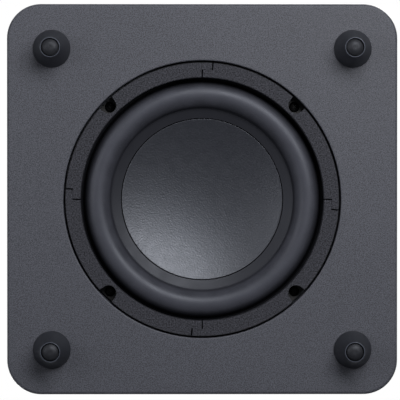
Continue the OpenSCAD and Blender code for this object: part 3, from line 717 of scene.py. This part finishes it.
FINISHES = {
    "cabinet_board": textured_paint,
    "black_plastic": lambda slot: textured_paint(slot, roughness=0.42, contrast=0.35),
    "trim_board": trim_material,
    "foot_plastic": foot_material,
    "pad_rubber": pad_material,
    "surround_rubber": surround_material,
    "dish": dish_material,
    "copper": lambda slot: winding_material(slot, metallic=1.0),
    "winding_tape": winding_material,
    "spider_cloth": cloth_material,
    "braid": lambda slot: cloth_material(slot, thread=0.3 * MM),
    "clear_plastic": clear_material,
    "circuit_board": board_material,
    "wadding": wadding_material,
}
# Slots with a plain surface, and what moulded() makes them with
PLAIN = {
    "paper_cone": dict(roughness=0.9, grain=1.5 * MM, depth=0.15 * MM, contrast=0.3),
    "basket_casting": dict(roughness=0.5, grain=0.8 * MM, depth=0.05 * MM),
    "foam": dict(roughness=0.95, grain=0.7 * MM, depth=0.2 * MM, contrast=0.3),
    "black_steel": dict(roughness=0.35, grain=0.4 * MM, depth=0.01 * MM, metallic=0.7),
    "zinc_steel": dict(roughness=0.3, depth=0.005 * MM, metallic=1.0),
    "plated_steel": dict(roughness=0.25, depth=0.005 * MM, metallic=1.0),
    "ferrite": dict(roughness=0.6, grain=0.6 * MM, depth=0.05 * MM, contrast=0.25),
    "former_film": dict(roughness=0.25, depth=0.005 * MM),
    "phenolic": dict(roughness=0.5, grain=2 * MM, contrast=0.3),
    "brass": dict(roughness=0.3, depth=0.005 * MM, metallic=1.0),
    "cable_red": dict(roughness=0.4),
    "cable_brown": dict(roughness=0.4),
    "ivory_plastic": dict(roughness=0.4),
    "inlet_plastic": dict(roughness=0.4),
    "button_plastic": dict(roughness=0.3, depth=0.005 * MM),
    "bare_aluminium": dict(roughness=0.35, grain=0.3 * MM, depth=0.01 * MM, metallic=1.0),
    "capacitor_sleeve": dict(roughness=0.25, depth=0.005 * MM),
    "nickel": dict(roughness=0.18, depth=0.003 * MM, metallic=1.0),
}
MADE = {}


def material(slot):
    """The finished material of a slot, made once."""
    if slot not in MADE:
        MADE[slot] = moulded(slot, **PLAIN[slot]) if slot in PLAIN else FINISHES[slot](slot)
    return MADE[slot]


def finish_cad_nodes():
    """Gives every carried-over CAD node its slot's material."""
    for name, obj in frame["nodes"].items():
        obj.data.materials.clear()
        obj.data.materials.append(material(NODE_SLOT[name]))
        shade(obj, 30)


# ---------- Cabinet ----------


def outline(half_w, corner_r):
    """Rounded square, anticlockwise, with points spread evenly by angle along its sides."""
    flat = half_w - corner_r
    reach = math.atan(flat / half_w)
    side = [(half_w, half_w * math.tan(t)) for t in np.linspace(-reach, reach, SIDE_STEPS + 1)]
    corner = arc(flat, flat, corner_r, 0, QUARTER, CORNER_STEPS)[1:-1]
    points = []
    for k in range(4):
        c, s = round(math.cos(k * QUARTER)), round(math.sin(k * QUARTER))
        points += [(c * x - s * y, s * x + c * y) for x, y in side + corner]
    return points


def inset_ring(inset, z):
    """The cabinet's outline, moved in by inset, at height z."""
    return [(x, y, z) for x, y in outline(HALF_W - inset, CORNER_R - inset)]


def round_ring(radius, z):
    """A circle with the same number of points as the outline, facing them."""
    return [(*polar(radius, math.atan2(y, x)), z) for x, y in outline(HALF_W, CORNER_R)]


def edge_rings(z_edge, inwards, steps=8):
    """Rings round a rounded outer edge; inwards is +1 where the cabinet lies above z_edge."""
    rings = []
    for turn in [QUARTER * k / steps for k in range(steps + 1)]:
        inset, drop = EDGE_R * (1 - math.cos(turn)), EDGE_R * (1 - math.sin(turn))
        rings.append(inset_ring(inset, z_edge + inwards * drop))
    return rings


def build_baffle():
    rings = [inset_ring(SEAM, BAFFLE_TOP), inset_ring(0, BAFFLE_TOP - SEAM)]
    rings += edge_rings(FACE_Z, 1)
    for turn in np.linspace(0, QUARTER, 5):
        flare, rise = REBATE_LIP * (1 - math.sin(turn)), REBATE_LIP * (1 - math.cos(turn))
        rings.append(round_ring(REBATE_R + flare, FACE_Z + rise))
    rings += [round_ring(REBATE_R, GASKET_TOP), round_ring(DRIVER_HOLE_R, GASKET_TOP)]
    rings.append(round_ring(DRIVER_HOLE_R, BAFFLE_TOP))
    piece(level_faces(loft("baffle_board", rings, closed=True)), ["bottom_baffle"])


def build_top():
    rings = [inset_ring(SEAM, SLEEVE_TOP), inset_ring(0, SLEEVE_TOP + SEAM)] + edge_rings(TOP_Z, -1)
    piece(level_faces(loft("top_board", rings, closed=False)), ["top_panel"])


def build_sleeve():
    """Wrap with a rebate and a window for the rear plate, and a seat and a hole for the port."""
    inner = outline(HALF_W - WALL, CORNER_R - WALL)
    low, high = BAFFLE_TOP, SLEEVE_TOP
    steps = ((SEAM, low), (0, low + SEAM), (0, high - SEAM), (SEAM, high))
    rings = [inset_ring(inset, z) for inset, z in steps]
    rings += [[(x, y, z) for x, y in inner] for z in (high, low)]
    sleeve = loft("cabinet_wrap", rings, closed=True)
    rebate = rectangle(PLATE_W + PLAY, PLATE_H + PLAY, PLATE_CORNER_R)
    window = rectangle(PLATE_W - 2 * PLATE_RIM, PLATE_H - 2 * PLATE_RIM, PLATE_CORNER_R / 2)
    cutters = []
    for path, start, end, height in (
            (rebate, -OVER, PLATE_REBATE, PLATE_MIDDLE.z),
            (window, PLATE_REBATE - OVER, WALL + OVER, PLATE_MIDDLE.z),
            (circle(PORT_FLANGE_R + PLAY), -OVER, PORT_T, PORT_Z),
            (circle(PORT_R + PORT_FLARE + PLAY), PORT_T - OVER, WALL + OVER, PORT_Z)):
        cutters.append(to_rear(prism("cutter", path, start, end), height))
    carve(sleeve, cutters, bevel=0.4 * MM)
    piece(level_faces(sleeve), ["cabinet_sleeve"])


def build_port():
    """Tube, flare and flange as one turned profile: radius, and depth in from the rear face."""
    inner = arc(PORT_R + PORT_FLARE, PORT_FLARE, PORT_FLARE, -math.pi, -QUARTER, 24)
    outer = arc(PORT_R + PORT_FLARE, PORT_FLARE, PORT_FLARE - PORT_T, -QUARTER, -math.pi, 16)
    length = PORT_HIGH.y - PORT_LOW.y
    flange = [(PORT_FLANGE_R, 0, 0.8 * MM), (PORT_FLANGE_R, PORT_T, 0.3 * MM), (PORT_R, PORT_T, 0)]
    profile = inner + rounded_path(flange)[:-1] + outer + [(PORT_R + PORT_T, length), (PORT_R, length)]
    piece(to_rear(lathe("port_duct", profile, 128), PORT_Z), ["port_tube"])


def build_wadding():
    """Fibre blanket: a pillowed slab with an uneven surface, inside its CAD box."""
    low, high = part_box("acoustic_wadding")
    middle, half = (low + high) / 2, (high - low) / 2
    work = bmesh.new()
    bmesh.ops.create_cube(work, size=2.0)
    bmesh.ops.subdivide_edges(work, edges=work.edges, cuts=31, use_grid_fill=True)
    for v in work.verts:
        x, y, z = v.co
        crown = (1 - abs(x) ** 6) * (1 - abs(z) ** 6)
        tuck = 1 - 0.06 * (1 - abs(y))
        coarse, fine = (noise.noise(Vector((x * scale, y, z * scale))) for scale in (4, 14))
        thick = 0.35 + 0.5 * crown + (coarse * 0.25 + fine * 0.12) * crown
        reach = Vector((x * tuck, y * min(thick, 1.0), z * tuck))
        v.co = middle + half * reach
    mesh = bpy.data.meshes.new("wadding_blanket")
    work.to_mesh(mesh)
    work.free()
    blanket = add_object("wadding_blanket", mesh)
    shade(blanket, 60)
    piece(blanket, ["acoustic_wadding"])


# ---------- Feet ----------


def build_feet():
    base_r = (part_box("foot_front_left")[1].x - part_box("foot_front_left")[0].x) / 2
    head_z = PAD_SEAT + FOOT_HEAD_H
    hole_r = PAD_R + PAD_PLAY
    foot = rounded_path([
        (FOOT_BORE_R, FACE_Z, 0), (base_r, FACE_Z, 0.3 * MM), (FOOT_TIP_R, PAD_PROUD, 0.25 * MM),
        (hole_r, PAD_PROUD, 0.1 * MM), (hole_r, PAD_SEAT, 0), (FOOT_HEAD_R, PAD_SEAT, 0),
        (FOOT_HEAD_R, head_z, 0), (FOOT_BORE_R, head_z, 0)])
    pad = [(r, PAD_SAG * max(0.0, (r - PAD_FLAT_R) / (PAD_SHOWN_R - PAD_FLAT_R)) ** 2)
           for r in np.linspace(0, PAD_SHOWN_R, 25)]
    ledge = PAD_SEAT - PAD_BASE_H
    pad += [(PAD_SHOWN_R, ledge), (PAD_R, ledge), (PAD_R, PAD_SEAT), (0.0, PAD_SEAT)]
    for place in ("front_left", "front_right", "rear_left", "rear_right"):
        x, y, _ = centre_of(f"foot_{place}")
        piece(move(lathe(f"cone_foot_{place}", foot, 96), x, y), [f"foot_{place}"])
        piece(move(lathe(f"rubber_foot_pad_{place}", pad, 72, 50), x, y), [f"foot_pad_{place}"])


# ---------- Trim ring ----------


def notch_points(middle):
    """The cut-out round a screw, from its mouth to its round end and back, clockwise round the ring."""
    c, f = math.cos(NOTCH_FLARE), math.sin(NOTCH_FLARE)
    end = arc(NOTCH_CENTRE_R, 0, NOTCH_R, QUARTER + NOTCH_FLARE, 3 * QUARTER - NOTCH_FLARE, 24)
    x, y = end[0]
    along = -(x * c + y * f)
    reach = along + math.sqrt(along * along + TRIM_R ** 2 - x * x - y * y)
    mouth = (x + reach * c, y + reach * f)
    path = [mouth] + end + [(mouth[0], -mouth[1])]
    turn = Matrix.Rotation(middle, 2)
    return [tuple(turn @ Vector(p)) for p in path], math.atan2(mouth[1], mouth[0])


def trim_outline(start):
    """A quarter of the ring: a stepped scarf at each end and a notch in the middle of its outer edge."""
    slack = math.asin(TRIM_JOINT / 2 / TRIM_LAP_R)
    stop = start + QUARTER
    middle = start + QUARTER / 2
    notch, mouth = notch_points(middle)
    points = polar_arc(TRIM_INNER_R, start + slack, stop - slack)
    points += polar_arc(TRIM_LAP_R + LAP_GAP / 2, stop - slack, stop + TRIM_LAP_TURN - slack)
    points += polar_arc(TRIM_R, stop + TRIM_LAP_TURN - slack, middle + mouth)[:-1]
    points += notch
    points += polar_arc(TRIM_R, middle - mouth, start + TRIM_LAP_TURN + slack)[1:]
    points += polar_arc(TRIM_LAP_R - LAP_GAP / 2, start + TRIM_LAP_TURN + slack, start + slack)
    return points


def build_trim():
    for k, side in enumerate(("right", "rear", "left", "front")):
        name = f"trim_segment_{side}"
        path = trim_outline((k - 1) * QUARTER)
        inner = [math.hypot(x, y) < TRIM_INNER_R + TRIM_JOINT for x, y in path]
        ends = zip(inner, inner[1:] + inner[:1])
        bevels = [TRIM_INNER_BEVEL if here and there else TRIM_BEVEL for here, there in ends]
        segment = bevelled_plate(f"ring_{name}", path, FLANGE_Z, FACE_Z, bevels, steps=5)
        piece(level_faces(segment), [name])


# ---------- Driver ----------


def on_sphere(radii, lift=0.0):
    """Points on the dish's back sphere at these radii from the axis, or lift in front of it."""
    return [(r, DISH_CENTRE_Z + math.sqrt((DISH_SPHERE_R - lift) ** 2 - r * r)) for r in radii]


def build_surround():
    """Outer land, half roll and inner land in one rubber section."""
    inner_roll = ROLL_R - RUBBER
    roll_end_r = ROLL_CREST_R + ROLL_R
    front = on_sphere(np.linspace(DISH_SHOWN_R, LAND_END_R + 0.2 * MM, 16), RUBBER)
    front += arc(ROLL_CREST_R, LAND_BACK, ROLL_R, math.pi + 1.4 * math.asin(RUBBER / ROLL_R), 2 * math.pi, 64)
    front += [(r, FLANGE_Z + SEAT_DEPTH) for r in np.linspace(roll_end_r + 0.1 * MM, LAND_OUTER_R, 8)]
    back = [(r, LAND_BACK + SEAT_DEPTH) for r in np.linspace(LAND_OUTER_R, ROLL_CREST_R + inner_roll, 8)]
    back += arc(ROLL_CREST_R, LAND_BACK, inner_roll, 2 * math.pi, math.pi, 64)[1:]
    back += on_sphere(np.linspace(DISH_RIM_R, DISH_SHOWN_R, 16))[1:]
    rubber = lathe("rubber_surround", soften(front) + back, 256, 60)
    piece(rubber, ["surround"], body=None)
    radial_blend(rubber)


def soften(points, passes=3):
    """Rounds the creases of an open run of points a little, keeping its ends."""
    p = np.array(points)
    for _ in range(passes):
        p[1:-1] = (p[:-2] + 2 * p[1:-1] + p[2:]) / 4
    return [tuple(q) for q in p]


def radial_blend(obj):
    """Bakes obj's placement into its mesh and reads out its points."""
    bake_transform(obj)
    co = np.empty(len(obj.data.vertices) * 3)
    obj.data.vertices.foreach_get("co", co)


def build_cone():
    """Dish, nearly flush with the surround's inner land, from which a narrow groove parts it."""
    shoulder = DISH_SHOWN_R - GROOVE_W
    bend = shoulder - GROOVE_ROUND
    crown = [(r, DISH_RAISED) for r in np.linspace(0, bend, 52)]
    for t in np.linspace(0, QUARTER, 5)[1:]:
        crown.append((bend + GROOVE_ROUND * math.sin(t), DISH_RAISED - GROOVE_ROUND * (1 - math.cos(t))))
    crown += [(shoulder, -GROOVE_DEPTH), (DISH_SHOWN_R + 0.2 * MM, -GROOVE_DEPTH)]
    crown.append((DISH_SHOWN_R + 0.25 * MM, 0))
    crown += [(r, 0) for r in np.linspace(DISH_SHOWN_R + 1 * MM, DISH_RIM_R, 8)]
    front = [point for r, lift in crown for point in on_sphere([r], lift)]
    back = on_sphere(np.linspace(0, DISH_RIM_R, 60)[::-1], -DISH_T)
    piece(lathe("dish_cone", front + back, 256), ["cone"], "cone_assembly")


def screw_head(radius, height, recess, recess_depth):
    """Pan head seen from its driven side, which faces -Z, with a cross recess pressed into it."""
    rings, steps = 20, 64
    turns = [2 * math.pi * k / steps for k in range(steps)]
    wing = 0.44 * recess
    verts, rows = [(0.0, 0.0, recess_depth)], [[0]]
    for i in range(1, rings + 1):
        crown = height * 0.35 * (i / rings) ** 4
        rows.append(list(range(len(verts), len(verts) + steps)))
        for turn in turns:
            x, y = polar(radius * i / rings, turn)
            across, along = sorted((abs(x), abs(y)))
            inside = max(0.0, 1 - (across / wing) ** 6) * max(0.0, 1 - (along / recess) ** 4)
            verts.append((x, y, crown + recess_depth * min(1.0, 1.6 * inside)))
    rows.append(list(range(len(verts), len(verts) + steps)))
    verts += [(*polar(radius, turn), height) for turn in turns]
    rows.append([len(verts)])
    verts.append((0.0, 0.0, height))
    return verts, skin(rows, closed=False)


def screw(name, shank_h, head_r, head_h, shank_r, recess, recess_depth):
    """Pan-head screw along Z with its driven face at z = 0."""
    verts, faces = screw_head(head_r, head_h, recess, recess_depth)
    head = finish_mesh(name, verts, faces, 40)
    tip = head_h + shank_h
    profile = [(0, head_h), (shank_r, head_h), (shank_r, tip - SCREW_POINT_H), (shank_r * 0.5, tip), (0, tip)]
    return join(head, [lathe(name + "_shank", profile, 32)])


def build_driver_screws():
    low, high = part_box("driver_screws")
    screws = []
    for k in range(4):
        turn = (k + 0.5) * QUARTER
        one = screw(f"driver_screw_{k}", high.z - low.z - DRIVER_SCREW["head_h"], **DRIVER_SCREW)
        one.data.transform(Matrix.Rotation(turn * 1.7, 4, "Z"))
        screws.append(move(one, *polar(SCREW_CIRCLE_R, turn), low.z))
    piece(group("pan_head_driver_screws", screws), ["driver_screws"])


def build_spider():
    """Corrugated cloth disc between the basket's shelf and the coil former."""
    middle = []
    for r in np.linspace(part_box("spider")[1].x, SPIDER_INNER_R, 200):
        inside = SPIDER_WAVE_END_R < r < SPIDER_LAND_R
        wave = math.sin((SPIDER_LAND_R - r) / SPIDER_HALF_WAVE * math.pi)
        middle.append((r, SPIDER_Z - (SPIDER_LIFT * wave if inside else 0.0)))
    front, back = (soften([(r, z + side * SPIDER_T / 2) for r, z in middle]) for side in (-1, 1))
    disc = lathe("corrugated_spider", front + back[::-1], 160, 60)
    piece(disc, ["spider"], body=None)
    radial_blend(disc)


def build_leads():
    """Two braided leads that hang between the terminal strip and the cone."""
    low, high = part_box("tinsel_leads")
    stations, sides = 28, 12
    across = Vector((1, 0, 0))
    leads = []
    for side in (-1, 1):
        x = side * (high.x - LEAD_TURN_R)
        start, end = Vector((x, high.y - LEAD_TURN_R, high.z)), Vector((x, low.y, low.z + LEAD_TURN_R))
        elbow = Vector((x, start.y, end.z))
        path = [start.lerp(elbow, t).lerp(elbow.lerp(end, t), t) for t in np.linspace(0, 1, stations)]
        rings = []
        for i, centre in enumerate(path):
            along = (path[min(i + 1, stations - 1)] - path[max(i - 1, 0)]).normalized()
            third = along.cross(across)
            turns = [2 * math.pi * k / sides + i * 0.5 for k in range(sides)]
            rings.append([centre + LEAD_R * (math.cos(t) * across + math.sin(t) * third) for t in turns])
        leads.append(loft(f"lead_{side}", rings, closed=False, sharp_degrees=60))
    pair = group("braided_tinsel_leads", leads)
    piece(pair, ["tinsel_leads"], body=None)
    radial_blend(pair)


# ---------- Rear plate ----------


def plate_screw_places():
    xs = (PLATE_W - PLATE_RIM) / 2
    zs = (PLATE_H - PLATE_RIM) / 2
    return [(x * xs, y * zs) for x in (-1, 0, 1) for y in (-1, 0, 1) if x or y]


def plate_place(node):
    """Middle of a node in plate coordinates."""
    x, _, z = centre_of(node)
    return x, z - PLATE_MIDDLE.z


def depths(node):
    """Where a node starts and ends, in from the rear face."""
    low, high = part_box(node)
    return HALF_W - high.y, HALF_W - low.y


def pin(name, radius, first, last, nose, steps):
    """A turned rod from first to last with a rounded nose."""
    path = [(0, first, 0), (radius, first, nose), (radius, last, 0.1 * MM), (0, last, 0)]
    return lathe(name, rounded_path(path), steps)


def build_amp_plate():
    plate = bevelled_plate("rear_plate", rectangle(PLATE_W, PLATE_H, PLATE_CORNER_R), PLATE_T, 0, 0.6 * MM)
    margin = 2 * PLATE_RIM + FIELD_MARGIN
    field = rectangle(PLATE_W - margin, PLATE_H - margin, PLATE_CORNER_R - 2 * MM)
    cutters = [prism("field", field, -OVER, FIELD_DEPTH)]
    through = PLATE_T + OVER
    for x, y in plate_screw_places():
        seat = circle(PLATE_SCREW["head_r"] + PLAY, 48, x, y)
        cutters.append(prism("seat", seat, -OVER, PLATE_SCREW_SEAT))
        cutters.append(prism("hole", circle(PLATE_SCREW_HOLE_R, 32, x, y), -OVER, through))
    x, y = plate_place("mains_inlet")
    cutters.append(prism("socket", [(x + px, y + py) for px, py in rectangle(*INLET_HOLE)], -OVER, through))
    for node, radius in (("pairing_button", BUTTON_HOLE_R), ("indicator_lens", LENS_HOLE_R)):
        cutters.append(prism("hole", circle(radius, 64, *plate_place(node)), -OVER, through))
    carve(plate, cutters, bevel=0.35 * MM)
    boss = [(BOSS_BORE_R, BOSS_END), (BOSS_R, BOSS_END), (BOSS_R, BOSS_START), (0, BOSS_START),
            (0, BOSS_BORE_START), (BOSS_BORE_R, BOSS_BORE_START)]
    low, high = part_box("board_screws")
    join(plate, [move(lathe("boss", boss, 48), x, z - PLATE_MIDDLE.z)
                 for x in (low.x + BOSS_INSET, high.x - BOSS_INSET)
                 for z in (low.z + BOSS_INSET, high.z - BOSS_INSET)])
    shade(plate, 35)
    piece(level_faces(to_rear(plate, PLATE_MIDDLE.z)), ["amp_plate"])


def build_amp_screws():
    screws = []
    for i, (x, y) in enumerate(plate_screw_places()):
        one = screw(f"plate_screw_{i}", PLATE_SHANK_H, **PLATE_SCREW)
        one.data.transform(Matrix.Rotation(i * 0.9, 4, "Z"))
        screws.append(move(one, x, y, depths("amp_screws")[0]))
    piece(to_rear(group("pan_head_plate_screws", screws), PLATE_MIDDLE.z), ["amp_screws"])


def build_inlet():
    """Inlet block with a figure-of-eight socket, and its two pins."""
    x, y = plate_place("mains_inlet")
    face, back = depths("mains_inlet")
    block = bevelled_plate("inlet_block", rectangle(*INLET_SIZE, 0.5 * MM, 4), back, face, 0.4 * MM)
    flange_start = PLATE_T + 0.02 * MM
    flange = prism("flange", rectangle(*INLET_FLANGE, 0.5 * MM, 4), flange_start, PLATE_T + INLET_FLANGE_T)
    waist = math.asin(WAIST / LOBE_R)
    eight = arc(PIN_OFFSET, 0, LOBE_R, -math.pi + waist, math.pi - waist, 40)
    eight += arc(-PIN_OFFSET, 0, LOBE_R, waist, 2 * math.pi - waist, 40)
    carve(block, [prism("cavity", eight, -OVER, INLET_DEPTH)], bevel=0.3 * MM)
    join(block, [flange])
    shade(block, 35)
    piece(level_faces(to_rear(move(block, x, y), PLATE_MIDDLE.z)), ["mains_inlet"])
    pins = [pin("pin", PIN_R, *depths("inlet_pins"), 0.8 * MM, 40) for _ in range(2)]
    for one, side in zip(pins, (-1, 1)):
        move(one, x + side * PIN_OFFSET, y)
    piece(to_rear(group("round_inlet_pins", pins), PLATE_MIDDLE.z), ["inlet_pins"])


def build_controls():
    top, stem = depths("pairing_button")
    collar = PLATE_T + 0.1 * MM
    profile = [(0, top + 0.25 * MM), (1.5 * MM, top + 0.18 * MM), (2.6 * MM, top + 0.02 * MM)]
    profile += arc(BUTTON_R - 0.5 * MM, top + 0.5 * MM, 0.5 * MM, -QUARTER, 0, 5)
    profile += [(BUTTON_R, collar), (BUTTON_COLLAR_R, collar), (BUTTON_COLLAR_R, collar + BUTTON_COLLAR_H),
                (BUTTON_STEM_R, collar + BUTTON_COLLAR_H), (BUTTON_STEM_R, stem), (0, stem)]
    button = move(lathe("round_button", profile, 72), *plate_place("pairing_button"))
    piece(to_rear(button, PLATE_MIDDLE.z), ["pairing_button"], "button_assembly")
    lens = pin("light_pipe", LENS_R, *depths("indicator_lens"), 0.5 * MM, 48)
    piece(to_rear(move(lens, *plate_place("indicator_lens")), PLATE_MIDDLE.z), ["indicator_lens"])


# ---------- Studio ----------


def fresh_nodes(tree, *kinds):
    """Empties a node tree and fills it with one node of each kind."""
    tree.nodes.clear()
    return [tree.nodes.new("ShaderNode" + kind) for kind in kinds]


def build_floor():
    """Pale floor that shows only from above and takes part in nothing but what the camera sees."""
    bpy.ops.mesh.primitive_plane_add(size=8.0)
    floor = bpy.context.active_object
    floor.name = "floor"
    paint = bpy.data.materials.new("floor")
    paint.use_nodes = True
    output, mix, side, matt, clear = fresh_nodes(
        paint.node_tree, "OutputMaterial", "MixShader", "NewGeometry", "BsdfDiffuse", "BsdfTransparent")
    matt.inputs["Color"].default_value = (0.86, 0.86, 0.86, 1.0)
    link = paint.node_tree.links.new
    link(side.outputs["Backfacing"], mix.inputs["Fac"])
    link(matt.outputs["BSDF"], mix.inputs[1])
    link(clear.outputs["BSDF"], mix.inputs[2])
    link(mix.outputs["Shader"], output.inputs["Surface"])
    floor.data.materials.append(paint)
    for ray in ("diffuse", "glossy", "transmission", "volume_scatter", "shadow"):
        setattr(floor, f"visible_{ray}", False)


def build_world():
    """White backdrop for the camera, and for the rest a soft fill that is dim towards the ground."""
    world = bpy.data.worlds.new("studio")
    bpy.context.scene.world = world
    world.use_nodes = True
    output, mix, path, fill, backdrop, direction, parts, level = fresh_nodes(
        world.node_tree, "OutputWorld", "MixShader", "LightPath", "Background", "Background", "TexCoord",
        "SeparateXYZ", "MapRange")
    fill.inputs["Color"].default_value = (0.92, 0.96, 1.0, 1.0)
    backdrop.inputs["Color"].default_value = (1.0, 1.0, 1.0, 1.0)
    for socket, value in SKY_STRENGTH.items():
        level.inputs[socket].default_value = value
    link = world.node_tree.links.new
    link(direction.outputs["Generated"], parts.inputs["Vector"])
    link(parts.outputs["Z"], level.inputs["Value"])
    link(level.outputs["Result"], fill.inputs["Strength"])
    link(path.outputs["Is Camera Ray"], mix.inputs["Fac"])
    link(fill.outputs["Background"], mix.inputs[1])
    link(backdrop.outputs["Background"], mix.inputs[2])
    link(mix.outputs["Shader"], output.inputs["Surface"])


def build_lights():
    """Two soft lights below the cabinet for the underside, and two soft suns above for every other side."""
    add_softbox("underside_key", **KEY_LIGHT)
    add_softbox("underside_side", **SIDE_LIGHT)
    add_sun("upper_key", 2.8, Vector((1.2, -1.6, 3.6)))
    add_sun("upper_back", 2.0, Vector((-1.6, 1.4, 3.8)))


def add_softbox(name, turn, off_axis, size, power):
    """A soft light aimed at the driver from below; size is its width and its height."""
    face = Vector((0, 0, FACE_Z))
    sideways = Vector((math.cos(turn), math.sin(turn), 0))
    toward = sideways * math.sin(off_axis) + Vector((0, 0, -math.cos(off_axis)))
    lamp = bpy.data.lights.new(name, "AREA")
    lamp.shape = "ELLIPSE"
    lamp.size, lamp.size_y = size
    lamp.energy = power
    aim_lamp(lamp, face + toward * LAMP_DISTANCE, face)


def add_sun(name, strength, place):
    sun = bpy.data.lights.new(name, "SUN")
    sun.angle = SUN_SPREAD
    sun.energy = strength
    aim_lamp(sun, place, SUN_AIM)


def aim_lamp(lamp, place, aim):
    obj = add_object(lamp.name, lamp)
    obj.location = place
    obj.rotation_mode = "QUATERNION"
    obj.rotation_quaternion = (aim - place).to_track_quat("-Z", "Y")


def build_camera():
    """Looks straight up at the underside, with the cabinet's front edge at the top of the picture."""
    data = bpy.data.cameras.new("camera")
    camera = add_object("camera", data)
    place = Vector((*CAMERA_SHIFT, FACE_Z - CAMERA_DISTANCE))
    forward = (Vector((*AIM_SHIFT, FACE_Z)) - place).normalized()
    right = forward.cross(Vector((0, -1, 0))).normalized()
    up = right.cross(forward)
    turn = Matrix((right, up, -forward)).transposed().to_4x4()
    camera.matrix_world = Matrix.Translation(place) @ turn
    data.sensor_width = 36.0
    data.lens = data.sensor_width * CAMERA_DISTANCE / VIEW_WIDTH
    data.clip_end = 50.0
    bpy.context.scene.camera = camera
    bpy.context.scene.view_settings.view_transform = "Standard"


finish_cad_nodes()
for build in (build_baffle, build_sleeve, build_top, build_port, build_wadding, build_feet, build_trim,
              build_surround, build_cone, build_driver_screws, build_spider, build_leads, build_amp_plate,
              build_amp_screws, build_inlet, build_controls, build_floor, build_world, build_lights,
              build_camera):
    build()
